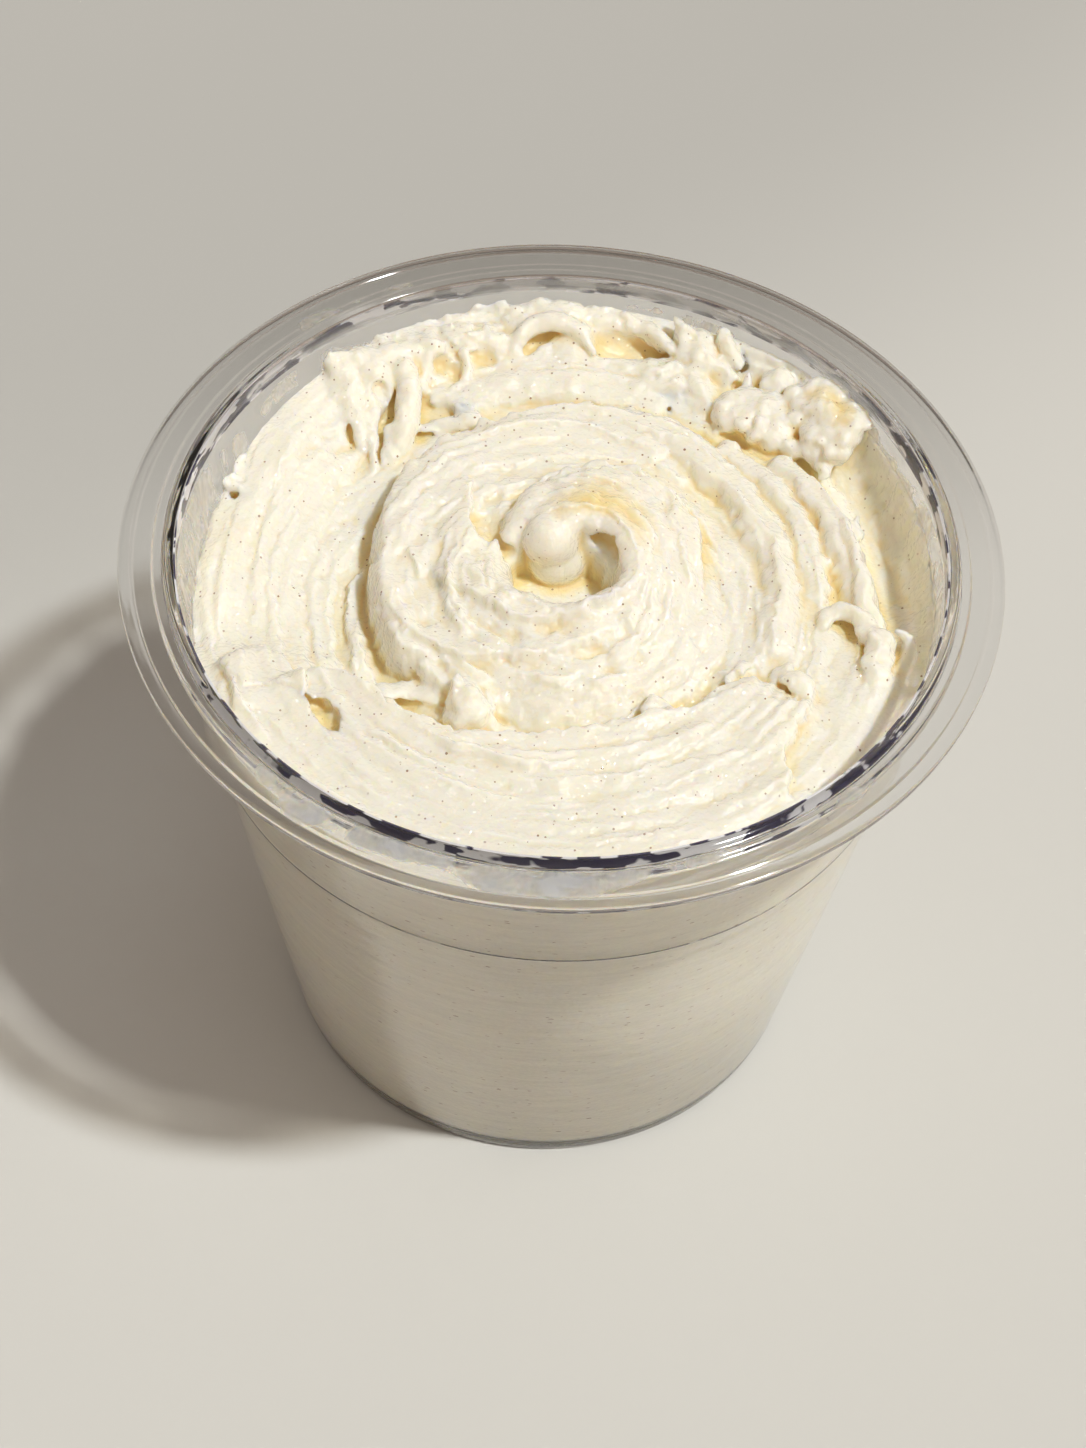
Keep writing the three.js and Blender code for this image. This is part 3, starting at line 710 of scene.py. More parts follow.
# Edges of layers, traced from above: name, points with the raised side on the left of the line's
# direction, rise, and how far the rise runs back from the edge.
EDGES = [
    ("flank's margin", [(17.9, -1), (17.9, 3), (17.5, 8), (16.9, 12), (16, 14.8), (14.6, 16.6),
        (13.4, 18.2), (11.6, 18.3), (9.4, 20.4), (8, 21.2), (6, 21.2), (4, 22.3), (1.6, 20.9), (-1.6, 19.9),
        (-4.4, 17.6), (-5.3, 15.4), (-7, 12.6), (-8, 9)], 1.1, 3.2),
    ("layer on the flank", [(9, 16.4), (4.5, 17.9), (1, 17.2), (-2, 15.6)], 0.6, 2.0),
    ("second layer on the flank", [(12, 13.6), (9.5, 17), (5, 19.6), (0.8, 18.9), (-3, 16.9)], 0.55, 1.6),
    ("roll of the lip", [(9.9, 8.6), (8.9, 11.8), (6.6, 14), (3, 14.9)], 0.3, 1.6),
    ("right layer", [(12.4, 17.6), (13.8, 15), (14.2, 13), (13.5, 10.6), (14.6, 8), (15.9, 4), (16.2, 0.6)],
        0.55, 2.2),
    ("line right of it", [(18.8, 10), (20.6, 5), (21.9, 0), (22.6, -4)], 0.3, 2.5),
    ("line in the right field", [(13.2, 1.4), (15.4, -2.6), (16.4, -6.6)], 0.2, 1.5),
    ("gold crease", [(-16.8, 3.4), (-15.9, 1.6), (-14.9, 0.2), (-13, -1.1), (-11, -2.2), (-9.4, -3.6),
        (-8, -4.2), (-6.4, -5.5), (-3.6, -6.2), (0, -6.2), (4.4, -5), (8, -2)], 1.2, 2.6),
    ("fork of the crease", [(-20.4, 6), (-19.6, 4), (-18.6, 2.6), (-17.6, 1.2)], 0.9, 2.5),
    ("front strand", [(-10.6, 1.4), (-8.4, -0.6), (-5, -1.9), (0, -2.6), (4.4, -1.9), (7.6, 0.4)],
        0.55, 1.4),
    ("second front strand", [(-13.6, 4.8), (-12, 2), (-9, -0.8), (-5.6, -3.1), (0, -4.2), (5, -3)],
        0.4, 1.4),
    ("strand round the right", [(2, -5.8), (6, -3.6), (9, -1), (10.6, 2.5), (11.2, 6.5), (10.8, 9)],
        0.45, 1.8),
    ("lower strand", [(-21.8, -2.6), (-19.6, -6.6), (-16, -9.6), (-10.4, -11.3), (-4, -11.3), (2, -10),
        (7, -7.2)], 1.1, 2.8),
    ("thin strand below it", [(-21.9, -5.6), (-19.6, -8.8), (-16.4, -11), (-12.6, -12.2)], 0.5, 1.0),
    ("front field", [(-6, -16.2), (-1, -14.6), (6, -12), (11.4, -8.4), (14.4, -4)], 0.4, 2.0),
    ("front field, outer", [(-3, -19.4), (4, -18), (11, -14.2), (16.6, -9.6)], 0.35, 2.0),
    ("inner layer", [(-10.2, 7.3), (-12, 8.3), (-12.9, 10.4), (-12.5, 13), (-12.6, 15.4), (-11.8, 18.2)],
        1.3, 2.6),
    ("inner layer, back", [(-13.4, 19.9), (-9.6, 20.7), (-6, 21.8), (-2.6, 23.3), (1, 23.8), (5, 23.4)],
        0.5, 2.0),
    ("fold in the left field", [(-8.8, 10.4), (-9.9, 13.4), (-8.6, 16.2), (-5.6, 18.6)], 0.45, 1.2),
    ("back rim", [(-14, 25.4), (-9, 27.2), (-4, 28.6), (2, 28.5), (7, 27), (12, 25.2)], 0.6, 2.2),
    ("back rim, second", [(-8, 25), (-2, 26.4), (5, 26.2)], 0.3, 1.6),
    ("ledge below the disc", [(-26.2, 8.4), (-26.7, 5.4), (-27.2, 2.4), (-27.2, -1.4), (-26.8, -3),
        (-26, -5.6), (-25.4, -8.6), (-24.6, -11)], 1.2, 1.8),
    ("front bank's crest", [(25.4, -12), (22.4, -14.6), (19, -17), (16, -18.6), (13, -19.4), (10, -20.4),
        (6.4, -21.4), (5, -22.2), (0, -23.2), (-4, -23.9), (-8, -24.2), (-13, -24), (-17, -22.2)], 0.8, 3),
    ("layer of the bank", [(22, -20), (13, -23.6), (4, -26), (-6, -26.6), (-14, -25.8)], 0.5, 2.6),
    ("second layer of the bank", [(26, -22.6), (18, -26.2), (8, -28.8), (-2, -29.6)], 0.35, 3),
    ("corner plate", [(-31.9, -19.2), (-31.3, -18.6), (-31.1, -16.2), (-32.6, -14.5), (-34.8, -11.4),
        (-38.1, -11), (-42.3, -12.5), (-43.4, -13.6)], 1.7, 6),
    ("left face of the plate", [(-42.5, -12.4), (-41.2, -15), (-39.6, -18), (-38.8, -22)], 1.2, 5),
    ("second sheet", [(-12.6, -21.9), (-14.6, -21.5), (-17.3, -21.7), (-20.2, -20.4), (-21.2, -18.4),
        (-24.6, -16.6), (-28, -14.8), (-30.8, -14.7), (-31, -17.1)], 1.2, 2.5),
    ("upper side of the tip", [(32.3, -15.2), (30, -16), (28.3, -16.1), (25.2, -15.2)], 0.9, 4),
    ("right side of the tip", [(29.6, -31), (28.5, -28.9), (29.6, -26.6), (28.3, -25.1), (28.9, -22.6),
        (29.6, -20.5), (31.2, -17.8), (32.3, -15.4)], 1.5, 5),
    ("groove on the right", [(29.4, 22.6), (31.2, 18.8), (33, 15), (34.1, 11), (34.6, 6)], 0.9, 2.5),
    ("line on the right ridge", [(26.6, 20.4), (28.8, 16), (30.2, 11), (30.8, 5)], 0.4, 2),
    ("outer ridge's line", [(35.6, 17.6), (36.8, 13), (37.6, 8), (38.2, 3)], 0.35, 1.6),
    ("inner line of the groove", [(26.6, 12), (27.4, 7), (27.9, 2), (27.6, -3), (26.8, -8)], 0.5, 1.6),
    ("trough streak", [(-29.2, 10), (-29.8, 4), (-29.4, -3), (-27.8, -9)], 0.35, 1.4),
    ("trough streak, outer", [(-31.6, 12), (-31.8, 4), (-31, -5), (-29, -11)], 0.25, 1.8),
    ("left bank's line", [(-36.4, 26), (-37.8, 20), (-38.8, 12), (-39.4, 3), (-38.8, -6)], 0.35, 2.4),
    ("left bank's crest", [(-39.4, 28), (-41.6, 21), (-43, 12), (-43.6, 3), (-43, -7)], 0.35, 3),
]

# Daubs laid on (1) and hollows pressed in (-1), in this order, traced from above as (x, y, top or
# bottom, half width): sign, points, height of the section against its width, blend, raggedness.
STROKES = [
    # cavity round the knob
    (-1, [(4.8, 9, 80.6, 1.2), (6, 6.8, 80.1, 1.9), (5.2, 4.2, 79.9, 1.7), (2.4, 1.8, 79.7, 1.4)],
        0.9, 0.7, 0.3),
    (-1, [(-8.6, 17, 80.5, 1.1), (-10.3, 13.8, 79.8, 1.7), (-10.2, 10.6, 79.3, 1.8), (-9.2, 8.2, 79, 1.4)],
        0.6, 0.4, 0.45),
    (-1, [(-8, 7.6, 78.8, 0.8), (-7, 5.8, 78.4, 0.9), (-6.2, 4, 78.6, 0.8)], 1.3, 0.4, 0.2),
    # knob: the end of the flank's sheet, the crest that runs into it, ball and bulb
    (1, [(-3.2, 16.2, 83.6, 1.9), (-4.8, 13.4, 83.3, 1.9), (-6, 11, 82.5, 1.6), (-6.9, 9.1, 81.7, 1.1)],
        0.9, 0.6, 0.12),
    (1, [(3.4, 14.4, 84.8, 1.3), (1.6, 13.2, 84.7, 1.7), (0, 11.4, 84.4, 2.4)], 0.9, 0.5, 0.1),
    (1, [(-1.6, 9, 84.4, 3.7)], 1, 0.3, 0.08),
    (1, [(-0.7, 5.9, 81.2, 4.1), (-0.6, 5, 79.6, 4.2)], 1, 0.3, 0.12),
    (-1, [(3.9, 8.1, 79.6, 0.35)], 1, 0.2, 0.1),
    # undercut of the gold crease and of the disc's inner layer
    (-1, [(-16.2, 1.9, 79, 0.4), (-14.6, -0.4, 78.8, 0.5), (-11.4, -2.5, 78.7, 0.55),
        (-8.6, -4.3, 78.5, 0.5), (-6, -6, 78.5, 0.4), (-3.4, -6.7, 78.6, 0.25)], 0.9, 0.25, 0.3),
    # disc's edge above the gully
    (1, [(-12.8, -16.6, 77.5, 0.8), (-16.5, -13.3, 78.2, 1.1), (-19.8, -9.2, 79, 1.3),
        (-21.6, -3, 79.4, 1.4), (-22.2, 4, 79.9, 1.4), (-22, 12, 80, 1.3), (-20.9, 18, 80.2, 1.2),
        (-17, 23.8, 80.5, 1.1), (-10.6, 28.4, 80.7, 1)], 0.9, 0.7, 0.6),
    # the flap's top, its sheet on the left and its column on the right
    (1, [(-33.4, 40.4, 83.2, 0.5), (-32.8, 39.2, 83, 1.3), (-30.4, 38.6, 82.8, 2.2), (-27, 39.4, 82.7, 2.4),
         (-23.6, 41, 82.6, 2.2), (-20, 42.6, 82.6, 2)], 0.8, 0.9, 0.4),
    (1, [(-30.8, 37, 82.2, 2.1), (-29.9, 34.2, 81.2, 2.1), (-29.3, 31.2, 80.1, 1.9), (-29, 28.6, 79, 1.6)],
        0.7, 1.2, 0.25),
    (1, [(-26.4, 37.6, 82, 2.4), (-26.2, 34.4, 80.9, 2.2), (-26.4, 31.4, 79.7, 2),
        (-26.6, 28.8, 78.6, 1.5)], 0.6, 1.2, 0.25),
    (1, [(-22.8, 38, 82.2, 1.7), (-21.9, 34.6, 81.3, 1.7), (-21.8, 31, 80.2, 1.7), (-22, 27.4, 79.1, 1.7),
         (-22.3, 24.2, 77.9, 1.3), (-23, 21.6, 76.8, 0.7)], 0.8, 0.8, 0.3),
    # its fingers, the bowl and the slots between them
    (1, [(-31.8, 32.8, 80.5, 0.9), (-32.8, 30.4, 79.6, 0.8), (-33.1, 28.4, 78.6, 0.45)], 0.9, 0.7, 0.25),
    (1, [(-31.2, 30, 79.5, 1), (-30.8, 27.2, 78.4, 0.9), (-30.2, 24.4, 77.2, 0.5)], 0.9, 0.7, 0.25),
    (1, [(-28.2, 28.4, 79, 1.2), (-27.7, 25.6, 78, 1), (-27.3, 23, 76.8, 0.6)], 0.9, 0.7, 0.25),
    (1, [(-26.4, 27.6, 78.4, 0.9), (-26, 25, 77.6, 0.8), (-25.6, 22, 76.6, 0.6), (-25.4, 19.6, 75.8, 0.4)],
        0.9, 0.6, 0.25),
    (1, [(-24.1, 26.8, 78.4, 0.7), (-23.7, 23.8, 77.5, 0.9), (-24.1, 20.6, 76.3, 0.5)], 0.8, 0.6, 0.25),
    (-1, [(-25.8, 34, 79.8, 1.2), (-25, 31.6, 78.8, 1.1)], 0.7, 0.5, 0.15),
    (-1, [(-24.8, 30.2, 77.6, 0.6), (-25, 27.6, 76.8, 0.6), (-24.8, 25.4, 76, 0.45)], 1.3, 0.25, 0.35),
    (-1, [(-32.1, 28.8, 77, 0.35), (-31.9, 26.8, 76.4, 0.45), (-31.4, 24, 75.6, 0.35)], 1.3, 0.25, 0.25),
    (-1, [(-29.3, 26.4, 76.6, 0.55), (-28.8, 24.2, 75.8, 0.45)], 1.3, 0.25, 0.25),
    # mass behind the disc, with its two eyes
    (1, [(-22, 42.6, 82.2, 2), (-18, 43.8, 82.4, 2.2), (-13.6, 45, 82.6, 2.4), (-9.6, 45, 82.4, 2.2)],
        0.7, 1, 0.7),
    (1, [(-14, 31.6, 78.8, 1.6), (-12, 34.6, 79.6, 2.2), (-7, 36.4, 80.2, 2.6), (0, 36.6, 80.4, 2.6),
        (7, 34.8, 79.8, 1.8)], 0.6, 0.8, 0.3),
    (-1, [(-17.6, 38.6, 79.2, 1.6), (-16.2, 37.4, 78.8, 1.4)], 0.9, 0.4, 0.25),
    (-1, [(-12.6, 40.8, 79.8, 1.3), (-11.2, 41, 79.8, 1)], 1, 0.4, 0.25),
    (1, [(-14.9, 41.8, 82, 0.8), (-14.3, 39.4, 81, 0.8), (-14.5, 37.2, 80.2, 0.7),
        (-15.7, 35.4, 79.4, 0.5)], 1, 0.4, 0.2),
    (1, [(-20, 40.6, 81.8, 1), (-19.9, 37.6, 80.6, 0.9), (-20, 34.6, 79.6, 0.8)], 1, 0.6, 0.3),
    (1, [(-19.2, 27.4, 78, 0.8), (-16.6, 28.4, 78.4, 1.1), (-13, 29.4, 79.2, 1.6)], 0.6, 1.2, 0.4),
    (1, [(-18, 33.4, 79, 1.8), (-15.4, 33, 79.4, 1.4), (-13.4, 31.2, 79.2, 1)], 0.8, 0.5, 0.5),
    (-1, [(-14.6, 30.9, 77.2, 0.6), (-13.8, 30.6, 77.2, 0.5)], 1.4, 0.2, 0.2),
    (-1, [(-18.6, 30.5, 77.6, 0.3)], 2, 0.2, 0.1),
    (1, [(-27, 42.6, 82.4, 1.5), (-23, 45, 82, 1.6), (-19, 46.8, 82, 1.8), (-14.6, 49.6, 82.4, 1.9),
        (-12, 51, 82.9, 1.2), (-8.4, 49.6, 82.8, 1.9), (-3, 50.4, 82.8, 1.4)], 0.9, 0.8, 0.8),
    # small curl at the back
    (1, [(-8, 48.6, 83, 2), (-4.6, 51, 83.6, 2.2), (-0.4, 50.6, 83.4, 2)], 0.8, 1, 0.4),
    (1, [(0.4, 47, 82.8, 2), (-0.6, 44.6, 82, 2.4), (-0.2, 42, 81.2, 2.4)], 0.8, 0.8, 0.2),
    (-1, [(-6.4, 42.8, 79.4, 0.9), (-5.2, 44.8, 79.6, 1.2), (-3.6, 46.6, 80.6, 1)], 1.4, 0.3, 0.15),
    (1, [(-8, 43, 81.4, 1), (-7.6, 45.8, 82.8, 1.1), (-5.8, 48.2, 83.8, 1.4), (-3.2, 49.2, 84.3, 1.5),
        (-0.4, 48.4, 84.1, 1.4), (1.6, 46.2, 83.2, 1.1), (2.6, 43.8, 82, 0.6)], 0.9, 0.6, 0.25),
    # hollow sheet against the wall
    (-1, [(4.6, 44.6, 78.8, 2.4), (8.6, 44.2, 78.2, 2.4), (12.2, 44, 78.4, 1.8)], 1.2, 0.6, 0.25),
    (1, [(2, 50.2, 83, 1.5), (6.4, 50, 83, 1.5), (9.6, 48.6, 82.8, 1.3), (12, 46.6, 82.4, 1.2),
        (13.2, 45.2, 82, 0.8)], 1, 0.7, 0.5),
    # crag, its spikes and arms
    (1, [(18, 46.4, 83.2, 1.9), (17.5, 43, 82.8, 2.4), (16.4, 39.5, 81.8, 2.6), (17.4, 36, 80.8, 2.4),
        (18, 33, 79.6, 1.8), (17, 31.6, 79, 1.2)], 0.9, 0.8, 0.6),
    (1, [(13.9, 51.2, 84.8, 0.45), (14.6, 49, 84.4, 1), (15.6, 46.4, 83.4, 1.8), (16, 43.4, 82.6, 2.2)],
        1, 0.5, 0.4),
    (1, [(20.6, 49.2, 84.7, 0.7), (20.8, 47.2, 84.2, 1.2), (21.6, 44.8, 83.4, 1.3),
        (22.6, 43.2, 82.8, 0.8)], 1, 0.5, 0.4),
    (1, [(20, 42, 82.2, 1.6), (21.6, 39.4, 81.4, 1.4)], 1, 0.6, 0.6),
    (1, [(14.5, 40.4, 81.6, 1.4), (11, 40.6, 81.2, 1.3), (8, 40, 80.8, 1.1), (6.2, 38.6, 80, 0.8)],
        0.9, 0.5, 0.6),
    (1, [(14.2, 38.2, 81.2, 1.3), (11, 38, 80.6, 1.2), (8.8, 37.2, 80.2, 0.9), (11.6, 35.8, 79.6, 0.6)],
        0.9, 0.5, 0.6),
    (-1, [(11.8, 34.9, 77, 0.6), (14.4, 34.8, 76.6, 0.9)], 1.6, 0.3, 0.3),
    (-1, [(13.3, 32.4, 77, 0.6)], 1.6, 0.3, 0.2),
    (1, [(22.5, 47.8, 82.4, 1.2), (24.6, 46.6, 82.2, 1.3), (25.7, 43.5, 81.4, 1.4),
        (25.4, 40.5, 80.4, 1.5)], 0.7, 0.9, 0.3),
    (-1, [(23.6, 44, 79.6, 1), (23.2, 41.6, 79.2, 1)], 1.2, 0.5, 0.2),
    (1, [(24, 40.7, 82.6, 0.45), (23.8, 38.8, 82, 0.7)], 1.6, 0.3, 0.2),
    (-1, [(22.2, 38.6, 79.8, 0.7), (27, 37.6, 80, 0.7)], 0.8, 0.4, 0.4),
    (-1, [(21, 29.6, 78.2, 1.1), (24.6, 27.2, 78.2, 1.1), (28, 25.8, 78.6, 0.7)], 0.7, 0.5, 0.3),
    (1, [(20.6, 30.6, 79.4, 1.4), (23.4, 29.4, 79.2, 1.6), (26.4, 27.6, 79.4, 1.4)], 0.9, 0.8, 0.4),
    # left bank
    (1, [(-42.8, 20, 79.4, 0.6), (-43.2, 18, 79.3, 1.2), (-43.6, 16, 78.8, 0.9)], 0.9, 0.5, 0.7),
    (-1, [(-42.8, 12, 75, 1)], 1.6, 0.3, 0.3),
    (-1, [(-40.9, 13, 76.6, 0.4)], 2, 0.2, 0.2),
    (1, [(-43.8, 14.8, 78.4, 0.6), (-42.2, 14.6, 78.6, 0.8), (-40.8, 14, 78.2, 0.6)], 0.9, 0.4, 0.4),
    # front bank
    (-1, [(-31.2, -19.6, 78.2, 0.5), (-29.6, -20.9, 77.8, 1), (-27.9, -22.6, 77.5, 1.5),
        (-26.6, -24.2, 77.5, 1.5)], 0.9, 0.3, 0.5),
    (1, [(-11.9, -14.7, 80.5, 0.45), (-11.7, -16, 80.3, 1), (-11.2, -17.8, 79.9, 1.8),
        (-10.4, -20.4, 79.3, 2.9)], 0.9, 1.8, 0.5),
    (1, [(-21, -18, 76.4, 1.4), (-17.8, -17.6, 76, 1.6), (-14.6, -17.8, 76.4, 1.5)], 0.4, 1.6, 0.35),
    (1, [(6.6, -22, 80.5, 0.5), (7.4, -21.2, 80.8, 0.7), (9.6, -20.6, 80.7, 0.5)], 1, 0.3, 0.2),
    (1, [(11.6, -18.6, 79.6, 1), (12.8, -17.6, 79.8, 1.3), (14, -18.8, 79.6, 1)], 0.7, 0.5, 0.3),
    (1, [(24.6, -9.6, 79.6, 1), (23, -11.4, 79.6, 1), (21.6, -13.4, 79.4, 0.9)], 0.9, 0.5, 0.8),
    (-1, [(20.6, -14.8, 77.2, 0.7), (21.4, -14.2, 77.4, 0.5)], 1.3, 0.3, 0.3),
    (-1, [(17, -18, 77.6, 0.6), (18.4, -17.2, 77.6, 0.5)], 1.3, 0.3, 0.3),
    # groove on the right and its torn lips
    (1, [(27.2, -0.4, 79.6, 0.5), (26.2, -2.2, 79.4, 0.6), (25.2, -4, 79, 0.5)], 1.1, 0.4, 0.4),
    (1, [(27.2, -6.4, 79.5, 0.6), (26.1, -7.8, 79.3, 0.7), (25.7, -10, 79, 0.6), (26, -11.8, 78.6, 0.4)],
        1.1, 0.4, 0.4),
    (1, [(27.3, -12.6, 79.4, 0.6), (27.8, -11.2, 80, 0.8), (29, -10.8, 80.3, 0.9)], 1, 0.5, 0.3),
    (1, [(28.8, -12.4, 80.2, 0.9), (30.2, -12.5, 80.8, 1.4), (31, -13.8, 80.6, 1.5), (31.6, -15.4, 80, 1)],
        0.8, 0.5, 0.25),
    # scoop: a lip rolled over a shallow hollow, open to the left
    (1, [(33.6, -3, 80.2, 0.7), (34.2, -1.4, 80.6, 1), (36, -0.6, 80.9, 1.2), (38, -1.4, 81, 1.3),
        (39.2, -3, 80.9, 1.3)], 0.9, 0.7, 0.35),
    (1, [(39.4, -4.4, 80.9, 1.4), (40.6, -5, 81.2, 1.7), (40.6, -7.6, 80.9, 1.8), (40, -10.2, 80.4, 1.9),
        (40.2, -12.6, 79.8, 2), (38.6, -15.8, 79.2, 1.9)], 0.9, 0.6, 0.45),
    (-1, [(35.8, -4.6, 78.9, 1.5), (35.7, -7, 78.6, 2.3), (35.4, -10, 78.5, 2.5), (34.6, -13, 78.6, 2.2),
        (33.6, -15.6, 78.8, 1.6)], 0.5, 0.5, 0.2),
    (1, [(42.9, -3.6, 81.2, 0.35), (44.4, -4.8, 80.8, 0.8), (44.3, -7.2, 79.8, 1.1), (43.4, -9.8, 79, 1)],
        1.2, 0.4, 0.25),
    (1, [(38.2, 15.8, 80.8, 0.3), (37.9, 14.6, 80.8, 0.6), (38.3, 12.4, 80.6, 0.8)], 1.2, 0.4, 0.3),
    # stem of the big crumb
    (1, [(33.4, 27, 81.4, 1.5), (34, 24.6, 80.8, 1), (33.8, 22.6, 80.2, 0.6)], 1, 0.5, 0.5),
]

# Crumbly masses: lumps of (x, y, top, radius), each covered with small random grains.
CRUMBS = [
    [(21.6, 34.8, 82.4, 2.2), (24.2, 35.4, 82.8, 2.5), (27, 34.8, 82.8, 2.4), (23.2, 32.6, 82, 2.2),
     (26.3, 32.6, 82.6, 2.7), (28.8, 31.6, 82.2, 2.2), (25.6, 30.2, 81.4, 2), (28.2, 28.8, 81, 2.1),
     (30, 27.2, 80.6, 1.4), (20.8, 32, 81.2, 1.2)],
    [(27.4, 39.2, 82.8, 1.4), (28.8, 40.2, 83.2, 1.5), (31.2, 37.2, 84, 1.9), (33.8, 38.6, 84.8, 2),
        (36.2, 37, 85, 2), (34, 35.4, 85, 2.3), (37.8, 34.6, 85.2, 1.9), (39, 32.8, 85, 1.4),
        (31.8, 33.8, 83.4, 2.2), (35, 32.6, 84.6, 2.5), (37.2, 30.4, 84.2, 1.9), (33.4, 30.2, 83.2, 2.4),
        (35.6, 28, 83, 2), (32.6, 27.6, 81.8, 1.6)],
]

# Where the cream is crumbly: traced x, y, reach, amount.
CRUMBLY = [
    (25, 33, 6, 1), (34, 33, 7, 1), (17, 40, 6, 0.9), (-20, 44, 7, 0.6), (-29, 33, 6, 0.5),
    (22, -13, 4, 0.8), (30, -13, 4, 0.5), (-28, -20, 4, 0.5), (-12, -18, 4, 0.4), (6, -15, 9, 0.35),
    (-43, 14, 4, 0.6), (-16, 36, 5, 0.4),
]


class Block:
    """A block of space in millimetres that holds the distance to the ice cream, negative inside."""

    def __init__(self, radius, low, high, step):
        self.step = step
        self.x = np.arange(-radius, radius + step, step, dtype=np.float32)
        self.z = np.arange(low, high + step, step, dtype=np.float32)
        self.field = np.zeros((len(self.x), len(self.x), len(self.z)), np.float32)

    def window(self, low, high):
        """Slices and open coordinate arrays of the part of the block between two corners."""
        slices, axes = [], []
        for axis, (a, b) in enumerate(zip(low, high)):
            line = self.z if axis == 2 else self.x
            start = int(np.clip(np.floor((a - line[0]) / self.step), 0, len(line)))
            end = int(np.clip(np.ceil((b - line[0]) / self.step) + 1, 0, len(line)))
            slices.append(slice(start, end))
            shape = [1, 1, 1]
            shape[axis] = -1
            axes.append(line[start:end].reshape(shape))
        return tuple(slices), axes

    def stroke(self, points, height, blend, ragged, carve=False):
        """Adds a stroke of varying width, or carves it out. Points are x, y of its middle as traced, its
        top or bottom, and half its width."""
        lifted_points = []
        for x, y, z, half in points:
            reach = height * half
            px, py, _ = lifted(x, y, z + 0.5 * reach if carve else z - reach)
            lifted_points.append((px, py, z + reach if carve else z - reach, half))
        path = curve_through(lifted_points, 0.8)
        reach = path[:, 3].max() * max(1, height) + blend + 2 * ragged + 0.5
        slices, (x, y, z) = self.window(path[:, :3].min(0) - reach, path[:, :3].max(0) + reach)
        shape = self.field[slices].shape
        if 0 in shape:
            return
        wx, wy, wz = x, y, z
        if ragged:
            wx, wy, wz = (line + ragged * two_waves(x, y, z, 2 * k) for k, line in enumerate((x, y, z)))
        best = np.full(shape, 99, np.float32)
        pairs = zip(path, path[1:]) if len(path) > 1 else [(path[0], path[0])]
        for a, b in pairs:
            run = (b[:3] - a[:3]) / (1, 1, height)
            length2 = max(float(run @ run), 1e-9)
            dx, dy, dz = wx - a[0], wy - a[1], (wz - a[2]) / height
            t = np.clip((dx * run[0] + dy * run[1] + dz * run[2]) / length2, 0, 1)
            away = np.sqrt((dx - t * run[0]) ** 2 + (dy - t * run[1]) ** 2 + (dz - t * run[2]) ** 2)
            best = np.minimum(best, away - (a[3] + t * (b[3] - a[3])))
        field = self.field[slices]
        if carve:
            self.field[slices] = soft_higher(field, -best, blend)
        else:
            self.field[slices] = soft_lower(field, best, blend)


def side_of(path, x, y):
    """Distance from each x, y to a path, signed positive on its left, and how far along it is, 0 to 1."""
    path = curve_through(path, 1.2)
    best = np.full(x.shape, 1e9)
    signed = np.zeros(x.shape)
    along = np.zeros(x.shape)
    lengths = np.linalg.norm(np.diff(path, axis=0), axis=1)
    total, done = lengths.sum(), 0.0
    for (ax, ay), (bx, by), length in zip(path, path[1:], lengths):
        dx, dy = bx - ax, by - ay
        t = np.clip(((x - ax) * dx + (y - ay) * dy) / (length ** 2), 0, 1)
        off = np.hypot(x - ax - t * dx, y - ay - t * dy)
        nearer = off < best
        side = np.sign(dx * (y - ay) - dy * (x - ax))
        best = np.where(nearer, off, best)
        signed = np.where(nearer, off * side, signed)
        along = np.where(nearer, (done + t * length) / total, along)
        done += length
    return signed, along


def add_edge(height, x, y, wx, wy, edge):
    """Raises one side of a traced line, so that it ends in a torn step."""
    _, line, rise, back = edge
    path = np.array([lifted(px, py, 80.0)[:2] for px, py in line])
    reach = 3.5 * back + 1
    near = ((x > path[:, 0].min() - reach) & (x < path[:, 0].max() + reach)
            & (y > path[:, 1].min() - reach) & (y < path[:, 1].max() + reach))
    rows, columns = np.where(near.any(1))[0], np.where(near.any(0))[0]
    part = (slice(rows[0], rows[-1] + 1), slice(columns[0], columns[-1] + 1))
    off, along = side_of(path, wx[part], wy[part])
    fade = smooth(8 * along) * smooth(8 * (1 - along))
    shape = np.where(off > 0, np.exp(-off / back), np.exp(-(off / 0.3) ** 2))
    height[part] += rise * fade * (shape - 0.25 * np.exp(-(off / (2 * back)) ** 2))


def ridge_height(ridge, angle, radius, ragged):
    """Height of one ridge, far below everything beyond its ends."""
    line, inner_width, inner_drop, outer_width, outer_drop = ridge
    table = smooth_table(line)
    first, last = table[0, 0], table[-1, 0]
    best = np.full(angle.shape, -99.0)
    for turn in (-360, 0, 360):
        turned = angle + turn
        crest_radius, crest = around(table, turned)
        across = radius - crest_radius + ragged
        fall = np.where(across < 0, inner_drop * (across / inner_width) ** 2,
                        outer_drop * (across / outer_width) ** 2)
        to_end = np.radians(np.minimum(turned - first, last - turned)) * crest_radius
        taper = 2 * np.clip(1 - to_end / 2, 0, None) ** 2
        height = np.where((turned >= first) & (turned <= last), crest - fall - taper, -99)
        best = np.maximum(best, height)
    return best


